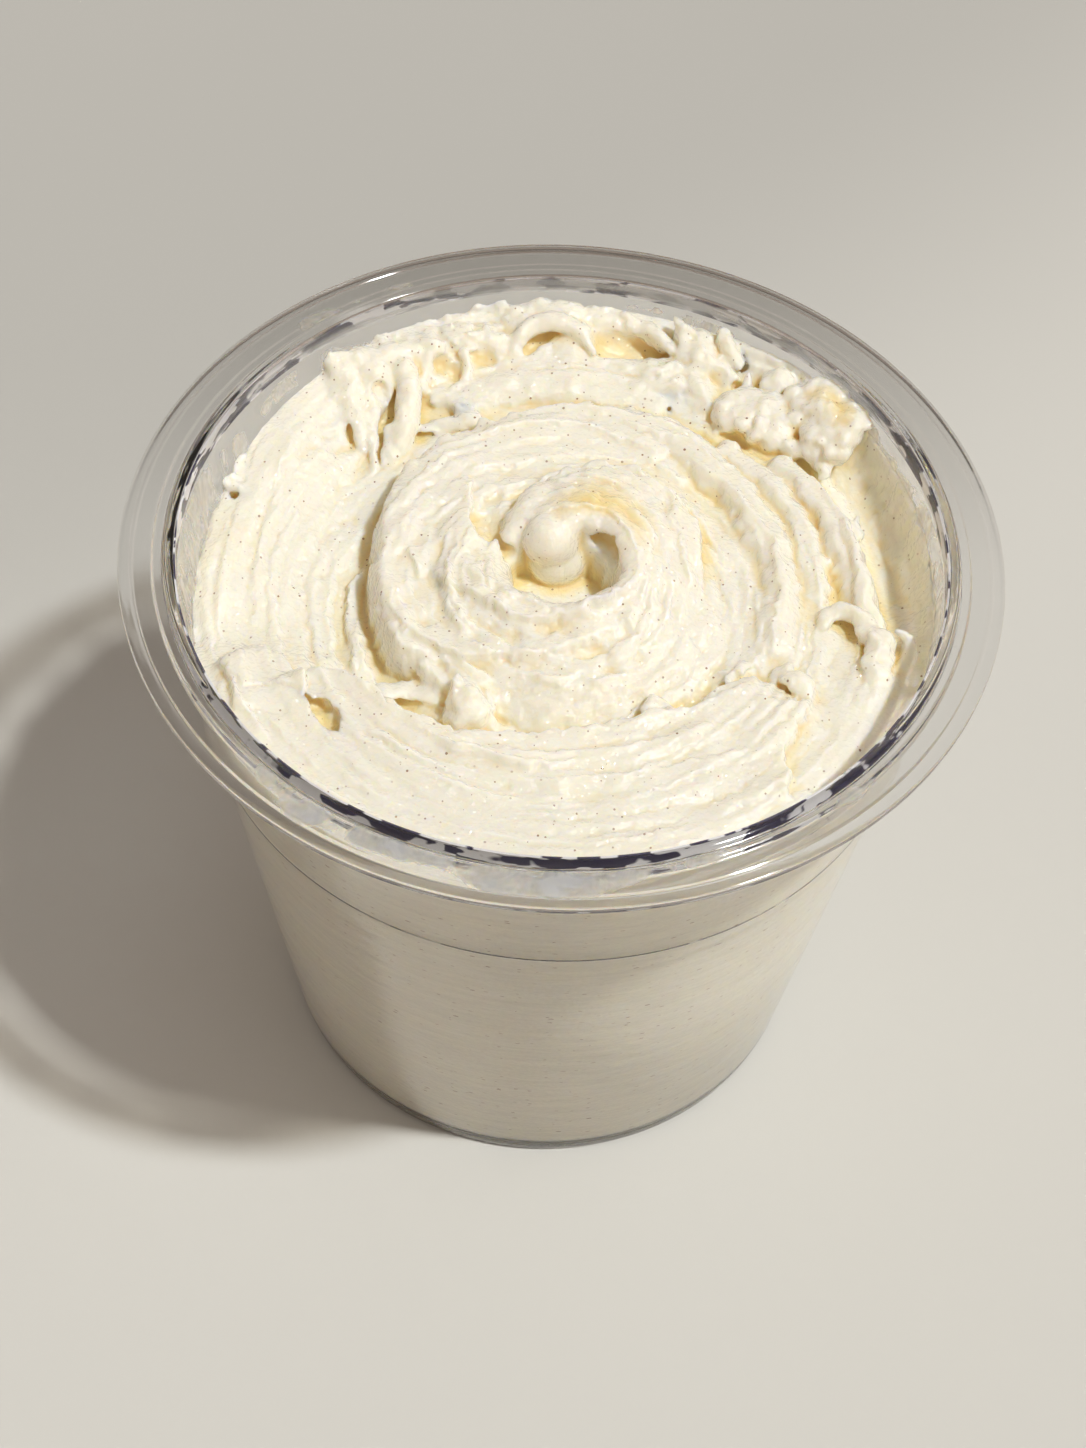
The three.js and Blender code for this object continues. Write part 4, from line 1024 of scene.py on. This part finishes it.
def random_arcs(height, angle, radius):
    """Small steps that the spatula left everywhere: long in the direction of turning."""
    rng = np.random.default_rng(11)
    for _ in range(190):
        place = rng.uniform(9, 45)
        start = rng.uniform(-180, 180)
        length = rng.uniform(14, 60) * (1 if place > 16 else 1.6)
        drift = rng.uniform(-2.5, 1.5)
        rise = rng.uniform(0.1, 0.48) * (0.8 if place > 33 else 1)
        back = rng.uniform(0.4, 1.8)
        turned = (angle - start + 180) % 360 - 180
        share = turned / length + 0.5
        off = (radius - place - drift * turned / 60) * rng.choice((-1, 1))
        fade = smooth(4 * share) * smooth(4 * (1 - share))
        height += rise * fade * np.where(off > 0, np.exp(-off / back), np.exp(-(off / 0.25) ** 2))


def swirl_height(x, y, wall_radius):
    """Height of the spatula-worked surface, without daubs and hollows."""
    # the third coordinate of each noise only keeps the draws apart
    slow, torn, fine = 4.1, 1.3, 0.6
    wx = x + 0.45 * noise(x / slow, y / slow, 0.3, 0) + 0.4 * noise(x / torn, y / torn, 0.7, 1)
    wy = y + 0.45 * noise(x / slow, y / slow, 5.3, 2) + 0.4 * noise(x / torn, y / torn, 8.7, 3)
    wx += 0.2 * noise(x / fine, y / fine, 3.7, 4)
    wy += 0.2 * noise(x / fine, y / fine, 6.1, 5)
    radius = np.hypot(wx, wy)
    angle = np.degrees(np.arctan2(wy, wx))
    ragged = 0.35 * noise(x / 2.2, y / 2.2, 3.1, 4) + 0.2 * noise(x / 0.9, y / 0.9, 2.2, 5)

    trough_radius, trough, bank_radius, bank, wall_level = around(SURROUND, angle)
    rise = smooth((radius - trough_radius) / (bank_radius - trough_radius))
    to_wall = np.clip((radius - bank_radius) / (wall_radius - bank_radius), 0, 1)
    height = trough + (bank - trough) * rise + (wall_level - bank) * to_wall ** 2

    disc_radius, disc_margin, disc_foot = around(DISC, angle)
    out = np.clip((radius - 12) / (disc_radius - 12), 0, 1)
    fall = 2.5 * np.clip(radius - disc_radius, 0, None) ** 2
    height = soft_higher(height, disc_foot + (disc_margin - disc_foot) * out ** 1.5 - fall, 0.5)
    for ridge in RIDGES:
        height = soft_higher(height, ridge_height(ridge, angle, radius, ragged), 0.4)

    # the curl
    margin_radius, margin = around(CURL_MARGIN, angle)
    lip_radius, lip = around(CURL_LIP, angle)
    down = np.clip((radius - lip_radius) / np.maximum(margin_radius - lip_radius, 1), 0, None)
    beyond = 1.6 * np.clip(radius + ragged - margin_radius, 0, None) ** 2
    height = soft_higher(height, lip + (margin - lip) * down - beyond, 0.4)

    random_arcs(height, angle, radius)
    for edge in EDGES:
        add_edge(height, x, y, wx, wy, edge)

    # streaks along the stroke: long in the direction of turning, short across it
    dx, dy = 1.8 * np.cos(np.radians(angle)), 1.8 * np.sin(np.radians(angle))
    across = radius + 1.4 * np.sin(np.radians(angle + 40))
    streaks = 0.28 * noise(dx, dy, across / 2.6, 1) + 0.5 * np.abs(noise(2 * dx, 2 * dy, across / 1.7, 2))
    streaks += 0.26 * np.abs(noise(3 * dx, 3 * dy, across / 0.85, 3))
    height += streaks

    # the cavity inside the lip, under its rolled edge
    inward = np.clip(lip_radius - radius, 0, None)
    hollow = lip - 0.3 * np.minimum(inward, 1.9) ** 2 - 5 * np.clip(inward - 1.9, 0, None)
    return np.where(radius < lip_radius, np.minimum(height, np.maximum(hollow, 75.5)), height)


def worked_block(tub, step):
    """The whole swirl as a block."""
    block = Block(inner_wall(tub, BLOCK_HIGH) + 1.5, BLOCK_LOW, BLOCK_HIGH, step)
    x, y = np.meshgrid(block.x, block.x, indexing="ij")
    edge = inner_wall(tub, SWIRL_LEVEL)
    height = swirl_height(x.astype(float), y.astype(float), edge).astype(np.float32)
    gx, gy = np.gradient(height, step)
    steep = np.sqrt(1 + gx ** 2 + gy ** 2)
    block.field[:] = (block.z[None, None, :] - height[:, :, None]) / steep[:, :, None]
    for sign, points, section, blend, ragged in STROKES:
        block.stroke(points, section, blend, ragged, carve=sign < 0)
    rng = np.random.default_rng(7)
    for mass in CRUMBS:
        for x0, y0, top, radius in mass:
            block.stroke([(x0, y0, top, radius)], 0.9, 0.9, 0.3)
            for _ in range(4):
                lean = rng.uniform(0, 2 * math.pi)
                out = radius * rng.uniform(0.35, 0.9)
                drop = radius - math.sqrt(max(radius ** 2 - out ** 2, 0))
                grain = rng.uniform(0.7, 1.4)
                place = (x0 + out * math.cos(lean), y0 + out * math.sin(lean), top - drop + grain * 0.25)
                block.stroke([(*place, grain)], 1, 0.5, 0.25)
    radius = np.hypot(x, y).astype(np.float32)
    cone = radius[:, :, None] - (inner_wall(tub, block.z[None, None, :]) + INTO_WALL)
    block.field[:] = np.maximum(block.field, cone)
    return block


def block_mesh(block, name):
    """The surface of a block as a mesh object, in metres."""
    band = 3 * block.step
    grid = openvdb.FloatGrid(background=band)
    solid = np.pad(np.clip(block.field, -band, band), 1, constant_values=band)
    grid.copyFromArray(solid)
    points, quads = grid.convertToQuads()
    points = points * block.step + (block.x[0] - block.step, block.x[0] - block.step, block.z[0] - block.step)
    mesh = bpy.data.meshes.new(name)
    mesh.from_pydata(points * MM, [], quads[:, ::-1])
    piece = bpy.data.objects.new(name, mesh)
    bpy.context.scene.collection.objects.link(piece)
    return piece


def roughen(piece, tub):
    """Fine unevenness along the normals: lumpy where the cream tore, almost smooth on the strokes."""
    mesh = piece.data
    count = len(mesh.vertices)
    co = np.zeros(count * 3, np.float32)
    normal = np.zeros(count * 3, np.float32)
    mesh.vertices.foreach_get("co", co)
    mesh.vertices.foreach_get("normal", normal)
    co = co.reshape(-1, 3)
    normal = normal.reshape(-1, 3)
    x, y, z = (co / MM).T
    coarse, fine = 0.9, 0.45
    lumps = noise(x / coarse, y / coarse, z / coarse, 1) + 0.6 * noise(x / fine, y / fine, z / fine, 2)
    torn = np.zeros(count, np.float32)
    for cx, cy, reach, amount in CRUMBLY:
        px, py, _ = lifted(cx, cy, 80)
        torn = np.maximum(torn, amount * np.exp(-((x - px) ** 2 + (y - py) ** 2) / reach ** 2))
    off_wall = np.clip(inner_wall(tub, z) - np.hypot(x, y) - 0.3, 0, 1)
    amount = (0.035 + 0.09 * torn) * off_wall
    co += normal * (lumps * amount * MM)[:, None]
    mesh.vertices.foreach_set("co", co.reshape(-1))
    mesh.update()


def concavity(block, reach):
    """How much of the ball round each place is cream, from the block; above a half in folds."""
    solid = (block.field < 0).astype(np.float32)
    size = max(1, int(round(reach / block.step)))
    for axis in range(3):
        total = np.cumsum(solid, axis=axis)
        zero = np.zeros_like(np.take(total, [0], axis=axis))
        total = np.concatenate([zero, total], axis=axis)
        length = solid.shape[axis]
        index = np.arange(length)
        high = np.minimum(index + size + 1, length)
        low = np.maximum(index - size, 0)
        shape = [1, 1, 1]
        shape[axis] = -1
        inside = np.take(total, high, axis=axis) - np.take(total, low, axis=axis)
        solid = inside / (high - low).reshape(shape)
    return solid


def write_attribute(piece, name, values):
    attribute = piece.data.attributes.new(name, "FLOAT", "POINT")
    attribute.data.foreach_set("value", values.astype(np.float32))


def sampled(block, values, piece):
    """Values of the block at the vertices of a piece."""
    co = np.zeros(len(piece.data.vertices) * 3, np.float32)
    piece.data.vertices.foreach_get("co", co)
    co = co.reshape(-1, 3) / MM
    index = []
    for axis, line in enumerate((block.x, block.x, block.z)):
        index.append(np.clip(np.rint((co[:, axis] - line[0]) / block.step).astype(int), 0, len(line) - 1))
    return values[tuple(index)], co


def vanilla(cream):
    """Dairy ice cream, soft and moist: light goes in and comes out warmer, painted shade turns the folds
    gold, and ground seeds dot it.
    """
    material = new_material("Dairy ice cream, spatula worked")
    tree = material.node_tree
    place = add_node(tree, "ShaderNodeTexCoord")
    # painted shade: the fold attribute turns deep folds gold, standing in for light bounced inside them
    fold = add_node(tree, "ShaderNodeAttribute", attribute_name="fold")
    deep = add_node(tree, "ShaderNodeMapRange",
                    {"From Min": 0.53, "From Max": 0.7},
                    {"Value": fold.outputs["Fac"]})
    patches = add_node(tree, "ShaderNodeTexNoise", {"Scale": 90.0, "Detail": 3.0},
                       {"Vector": place.outputs["Object"]})
    tone = add_node(tree, "ShaderNodeMapRange",
                    {"From Min": 0.3, "From Max": 0.7, "To Min": -0.06, "To Max": 0.06},
                    {"Value": patches.outputs["Fac"]})
    side = add_node(tree, "ShaderNodeAttribute", attribute_name="side")
    drawn = add_node(tree, "ShaderNodeMapping", {"Scale": (1, 1, 9)}, {0: place.outputs["Object"]})
    streak = add_node(tree, "ShaderNodeTexNoise", {"Scale": 110.0, "Detail": 4.0, "Roughness": 0.7},
                      {"Vector": drawn.outputs[0]})
    streaked = add_node(tree, "ShaderNodeMapRange",
                        {"From Min": 0.35, "From Max": 0.7, "To Min": 0.0, "To Max": 0.1},
                        {"Value": streak.outputs["Fac"]})
    dull = add_node(tree, "ShaderNodeMath", None, {0: streaked.outputs[0], 1: side.outputs["Fac"]},
                    operation="MULTIPLY")
    # painted gold shade in the folds, plus random tone
    fold_shade_and_tone = add_node(tree, "ShaderNodeMath", None, {0: deep.outputs[0], 1: tone.outputs[0]},
                    operation="ADD", use_clamp=True)
    ground = add_node(tree, "ShaderNodeMix",
                      {6: linear(cream.milk), 7: linear(cream.fold)}, {0: fold_shade_and_tone.outputs[0]},
                      data_type="RGBA")
    # specks: one seed in each cell, of which a share is dark and wide enough to show; those at the wall
    # were drawn out sideways as the tub was filled
    stretched = add_node(tree, "ShaderNodeMapping", {"Scale": (0.45, 0.45, 1.7)},
                         {0: place.outputs["Object"]})
    spots = add_node(tree, "ShaderNodeMix", None,
                     {0: side.outputs["Fac"], 4: place.outputs["Object"], 5: stretched.outputs[0]},
                     data_type="VECTOR")
    cells = add_node(tree, "ShaderNodeTexVoronoi", {"Scale": 1 / cream.speck_spacing, "Randomness": 1.0},
                     {"Vector": spots.outputs[1]})
    chance = add_node(tree, "ShaderNodeSeparateColor", None, {0: cells.outputs["Color"]})
    width = add_node(tree, "ShaderNodeMapRange",
                     {"From Min": 0.42, "From Max": 1.0, "To Min": 0.04, "To Max": 0.2},
                     {"Value": chance.outputs[0]}, clamp=False)
    seed = add_node(tree, "ShaderNodeMath", None,
                    {0: cells.outputs["Distance"], 1: width.outputs[0]}, operation="LESS_THAN")
    darkness = add_node(tree, "ShaderNodeMapRange", {"To Min": 0.15, "To Max": 0.85},
                        {"Value": chance.outputs[1]})
    strength = add_node(tree, "ShaderNodeMath", None, {0: seed.outputs[0], 1: darkness.outputs[0]},
                        operation="MULTIPLY")
    dotted = add_node(tree, "ShaderNodeMix", {7: linear(cream.speck)},
                      {0: strength.outputs[0], 6: ground.outputs[2]}, data_type="RGBA")
    colour = add_node(tree, "ShaderNodeMix", {7: (0.0, 0.0, 0.0, 1.0)},
                      {0: dull.outputs[0], 6: dotted.outputs[2]}, data_type="RGBA")
    grain = add_node(tree, "ShaderNodeTexNoise", {"Scale": 1400.0, "Detail": 2.0},
                     {"Vector": place.outputs["Object"]})
    swell = add_node(tree, "ShaderNodeTexNoise", {"Scale": 420.0, "Detail": 2.0},
                     {"Vector": place.outputs["Object"]})
    relief = add_node(tree, "ShaderNodeMath", {1: 0.35},
                      {0: grain.outputs["Fac"], 2: swell.outputs["Fac"]}, operation="MULTIPLY_ADD")
    # fine lines in the direction of turning
    parts = add_node(tree, "ShaderNodeSeparateXYZ", None, {0: place.outputs["Object"]})
    level = add_node(tree, "ShaderNodeCombineXYZ", None, {0: parts.outputs["X"], 1: parts.outputs["Y"]})
    radius = add_node(tree, "ShaderNodeVectorMath", None, {0: level.outputs[0]}, operation="LENGTH")
    outward = add_node(tree, "ShaderNodeVectorMath", None, {0: level.outputs[0]}, operation="NORMALIZE")
    slow = add_node(tree, "ShaderNodeVectorMath", {"Scale": 0.006}, {0: outward.outputs[0]},
                    operation="SCALE")
    rings = add_node(tree, "ShaderNodeCombineXYZ", None, {2: radius.outputs["Value"]})
    turned = add_node(tree, "ShaderNodeVectorMath", None, {0: slow.outputs[0], 1: rings.outputs[0]},
                      operation="ADD")
    lines = add_node(tree, "ShaderNodeTexNoise", {"Scale": 1100.0, "Detail": 3.0},
                     {"Vector": turned.outputs[0]})
    lined = add_node(tree, "ShaderNodeMath", {1: 0.7}, {0: lines.outputs["Fac"], 2: relief.outputs[0]},
                     operation="MULTIPLY_ADD")
    bump = add_node(tree, "ShaderNodeBump", {"Strength": 0.6, "Distance": 0.00025},
                    {"Height": lined.outputs[0]})
    film = add_node(tree, "ShaderNodeTexNoise", {"Scale": 1500.0, "Detail": 1.0},
                    {"Vector": place.outputs["Object"]})
    wet = add_node(tree, "ShaderNodeBump", {"Strength": 1.0, "Distance": 0.0006},
                   {"Height": film.outputs["Fac"], "Normal": bump.outputs["Normal"]})
    shine = add_node(tree, "ShaderNodeMapRange",
                     {"From Min": 0.35, "From Max": 0.65, "To Min": 0.3, "To Max": 0.5},
                     {"Value": patches.outputs["Fac"]})
    body = add_node(tree, "ShaderNodeBsdfPrincipled",
                    {"IOR": 1.36, "Subsurface Weight": 1.0, "Subsurface Radius": DAIRY_SCATTER,
                     "Subsurface Scale": 0.0019, "Coat Weight": 0.7, "Coat Roughness": 0.17, "Coat IOR": 1.5},
                    {"Base Color": colour.outputs[2], "Normal": bump.outputs["Normal"],
                     "Coat Normal": wet.outputs["Normal"], "Roughness": shine.outputs[0]})
    add_node(tree, "ShaderNodeOutputMaterial", None, {"Surface": body.outputs[0]})
    return material


def extend_to_floor(piece, tub, level):
    """Cuts the block's piece level and draws its edge down the wall to the floor."""
    activate(piece)
    bpy.ops.object.mode_set(mode="EDIT")
    bpy.ops.mesh.select_mode(type="EDGE")
    bpy.ops.mesh.select_all(action="SELECT")
    bpy.ops.mesh.bisect(plane_co=(0, 0, level * MM), plane_no=(0, 0, 1), clear_inner=True)
    bpy.ops.mesh.select_all(action="DESELECT")
    bpy.ops.mesh.select_non_manifold(extend=False, use_boundary=True, use_wire=False,
                                     use_multi_face=False, use_non_contiguous=False,
                                     use_verts=False)
    corner = FLOOR_TOP + 1.2
    heights = [level, 40.0, corner]
    for last, height in zip(heights, heights[1:]):
        bpy.ops.mesh.extrude_edges_move(TRANSFORM_OT_translate={"value": (0, 0, (height - last) * MM)})
        ratio = (inner_wall(tub, height) + INTO_WALL) / (inner_wall(tub, last) + INTO_WALL)
        bpy.ops.transform.resize(value=(ratio, ratio, 1), center_override=(0, 0, 0))
    bpy.ops.mesh.extrude_edges_move(
        TRANSFORM_OT_translate={"value": (0, 0, (FLOOR_TOP - 0.2 - corner) * MM)})
    ratio = (inner_wall(tub, FLOOR_TOP) - 1.0) / (inner_wall(tub, corner) + INTO_WALL)
    bpy.ops.transform.resize(value=(ratio, ratio, 1), center_override=(0, 0, 0))
    bpy.ops.mesh.edge_face_add()
    bpy.ops.mesh.select_all(action="SELECT")
    bpy.ops.mesh.normals_make_consistent(inside=False)
    bpy.ops.object.mode_set(mode="OBJECT")


class TUB_OT_ice_cream(bpy.types.Operator):
    """Works the swirl as one block and draws it down to the floor of the tub"""

    bl_idname = "tub.ice_cream"
    bl_label = "Ice cream"

    def execute(self, context):
        tub, cream, _ = settings(context)
        step = cream.step / MM * 1
        block = worked_block(tub, step)
        piece = block_mesh(block, "ice_cream_swirl")
        roughen(piece, tub)
        triangles = 2 * len(piece.data.polygons)
        activate(piece)
        if triangles > cream.most_faces:
            thin = piece.modifiers.new("thin", "DECIMATE")
            thin.ratio = cream.most_faces / triangles
            bpy.ops.object.modifier_apply(modifier=thin.name)
        extend_to_floor(piece, tub, BLOCK_LOW + 1.0)
        # painted shade: the block's concavity sets where gold shade is painted into the folds
        values, co = sampled(block, concavity(block, 2.2), piece)
        below = co[:, 2] < BLOCK_LOW + 2.5
        write_attribute(piece, "fold", np.where(below, 0.5, values))
        at_wall = np.hypot(co[:, 0], co[:, 1]) > inner_wall(tub, co[:, 2]) + 0.5 * INTO_WALL
        write_attribute(piece, "side", at_wall)
        activate(piece)
        bpy.ops.object.shade_smooth()
        finish_piece(piece, "ice_cream_swirl", "ice_cream", vanilla(cream))
        return {"FINISHED"}


# ---------------------------------------------------------------------------------------------
# Studio


CAMERA_PITCH = 51.42  # degrees below the horizon
CAMERA_YAW = -0.29
CAMERA_ROLL = 3.05
FOCAL_PIXELS = 3010.3
FRAME_HEIGHT = 1448
SENSOR = 36.0
LIGHT_AZIMUTH = -21.0  # from +X towards the camera
LIGHT_ELEVATION = 62.0
STRIP_PLACE = (-0.75, 0.75, 0.75)
STRIP_SIZE = (1.0, 0.08)
HORIZON_LIGHT = (2.9, 2.3, 1.93, 1)
ZENITH_LIGHT = (0.8, 0.7, 0.6, 1)


def camera_axes():
    """Right, up and back of the camera, from its pitch, yaw and roll."""
    pitch, yaw, roll = (math.radians(a) for a in (CAMERA_PITCH, CAMERA_YAW, CAMERA_ROLL))
    forward = Vector((math.sin(yaw) * math.cos(pitch), math.cos(yaw) * math.cos(pitch), -math.sin(pitch)))
    right = forward.cross(Vector((0, 0, 1))).normalized()
    up = right.cross(forward)
    turned_right = math.cos(roll) * right + math.sin(roll) * up
    turned_up = -math.sin(roll) * right + math.cos(roll) * up
    return turned_right, turned_up, -forward


def painted_floor(hex_colour):
    """Matt painted board with a faint mottle, and painted shade that darkens it away from the lamp and the
    window.
    """
    material = new_material("Board, matt painted")
    tree = material.node_tree
    place = add_node(tree, "ShaderNodeTexCoord")
    mottle = add_node(tree, "ShaderNodeTexNoise", {"Scale": 9.0, "Detail": 4.0},
                      {"Vector": place.outputs["Object"]})
    colour = linear(hex_colour)
    darker = [c * 0.96 for c in colour[:3]] + [1.0]
    tone = add_node(tree, "ShaderNodeMix", {6: darker, 7: colour}, {0: mottle.outputs["Fac"]},
                    data_type="RGBA")
    # the board gets a little darker away from the lamp and the window
    parts = add_node(tree, "ShaderNodeSeparateXYZ", None, {0: place.outputs["Object"]})
    away = add_node(tree, "ShaderNodeMath", None, {0: parts.outputs["Y"], 1: parts.outputs["X"]},
                    operation="SUBTRACT")
    falling = add_node(tree, "ShaderNodeMapRange",
                       {"From Min": 0.0, "From Max": 0.17, "To Min": 0.0, "To Max": 0.25},
                       {"Value": away.outputs[0]}, interpolation_type="SMOOTHSTEP")
    shaded = add_node(tree, "ShaderNodeMix", {7: (0.0, 0.0, 0.0, 1.0)},
                      {0: falling.outputs[0], 6: tone.outputs[2]}, data_type="RGBA")
    body = add_node(tree, "ShaderNodeBsdfPrincipled", {"Roughness": 0.6, "IOR": 1.45},
                    {"Base Color": shaded.outputs[2]})
    add_node(tree, "ShaderNodeOutputMaterial", None, {"Surface": body.outputs[0]})
    return material


class TUB_OT_studio(bpy.types.Operator):
    """Adds the plain floor, the soft studio light and the camera"""

    bl_idname = "tub.studio"
    bl_label = "Studio"

    def execute(self, context):
        _, _, studio = settings(context)
        scene = context.scene
        deselect()
        bpy.ops.mesh.primitive_plane_add(size=6, location=(0, 0, 0))
        floor = bpy.context.active_object
        floor.name = "floor"
        floor.data.materials.append(painted_floor(studio.floor))

        world = bpy.data.worlds.new("studio")
        world.use_nodes = True
        scene.world = world
        tree = world.node_tree
        tree.nodes.clear()
        where = add_node(tree, "ShaderNodeTexCoord")
        parts = add_node(tree, "ShaderNodeSeparateXYZ", None, {0: where.outputs["Generated"]})
        level = add_node(tree, "ShaderNodeMapRange", {"From Min": 0.0, "From Max": 0.75},
                         {"Value": parts.outputs["Z"]})
        light = add_node(tree, "ShaderNodeMix", {6: HORIZON_LIGHT, 7: ZENITH_LIGHT},
                         {0: level.outputs[0]}, data_type="RGBA")
        sky = add_node(tree, "ShaderNodeBackground", {"Strength": studio.fill},
                       {"Color": light.outputs[2]})
        add_node(tree, "ShaderNodeOutputWorld", None, {"Surface": sky.outputs[0]})

        lamp = bpy.data.lights.new("key", "SUN")
        lamp.energy = studio.key_energy
        lamp.angle = studio.key_angle
        lamp.color = (1.0, 0.995, 0.97)
        key = bpy.data.objects.new("key", lamp)
        azimuth, elevation = math.radians(LIGHT_AZIMUTH), math.radians(LIGHT_ELEVATION)
        to_light = Vector((math.cos(elevation) * math.cos(azimuth), math.cos(elevation) * math.sin(azimuth),
                           math.sin(elevation)))
        key.rotation_mode = "QUATERNION"
        key.rotation_quaternion = to_light.to_track_quat("Z", "Y")
        scene.collection.objects.link(key)

        # a long softbox, seen as thin streaks in the plastic
        strip = bpy.data.lights.new("strip", "AREA")
        strip.shape = "RECTANGLE"
        strip.size, strip.size_y = STRIP_SIZE
        strip.energy = studio.strip_energy
        box = bpy.data.objects.new("strip", strip)
        box.location = STRIP_PLACE
        box.rotation_mode = "QUATERNION"
        box.rotation_quaternion = Vector(STRIP_PLACE).to_track_quat("Z", "Y")
        scene.collection.objects.link(box)

        lens = bpy.data.cameras.new("camera")
        lens.sensor_fit = "AUTO"
        lens.sensor_width = SENSOR
        lens.lens = FOCAL_PIXELS / FRAME_HEIGHT * SENSOR
        lens.clip_start = 0.01
        lens.clip_end = 20
        camera = bpy.data.objects.new("camera", lens)
        right, up, back = camera_axes()
        turned = Matrix((right, up, back)).transposed().to_4x4()
        camera.matrix_world = Matrix.Translation(Vector(CAMERA_PLACE) * MM) @ turned
        scene.collection.objects.link(camera)
        scene.camera = camera
        scene.view_settings.view_transform = "Standard"
        scene.view_settings.look = "None"
        return {"FINISHED"}


class TUB_PT_panel(bpy.types.Panel):
    """Lists the steps and their settings"""

    bl_label = "Ice cream tub"
    bl_idname = "TUB_PT_panel"
    bl_space_type = "VIEW_3D"
    bl_region_type = "UI"
    bl_category = "Tub"

    def draw(self, context):
        for group in settings(context):
            for name in group.__annotations__:
                self.layout.prop(group, name)
        for step in STEPS:
            self.layout.operator(step.bl_idname)


STEPS = [TUB_OT_shell, TUB_OT_bands, TUB_OT_film, TUB_OT_ice_cream, TUB_OT_studio]
GROUPS = {"tub_settings": TubSettings, "cream_settings": CreamSettings, "studio_settings": StudioSettings}


def register():
    for group in GROUPS.values():
        bpy.utils.register_class(group)
    for name, group in GROUPS.items():
        setattr(bpy.types.Scene, name, bpy.props.PointerProperty(type=group))
    for step in STEPS:
        bpy.utils.register_class(step)
    bpy.utils.register_class(TUB_PT_panel)


def unregister():
    bpy.utils.unregister_class(TUB_PT_panel)
    for step in reversed(STEPS):
        bpy.utils.unregister_class(step)
    for name in GROUPS:
        delattr(bpy.types.Scene, name)
    for group in reversed(GROUPS.values()):
        bpy.utils.unregister_class(group)


def main():
    register()
    bpy.ops.tub.shell()
    bpy.ops.tub.bands()
    bpy.ops.tub.film()
    bpy.ops.tub.ice_cream()
    bpy.ops.tub.studio()


if __name__ == "__main__":
    main()
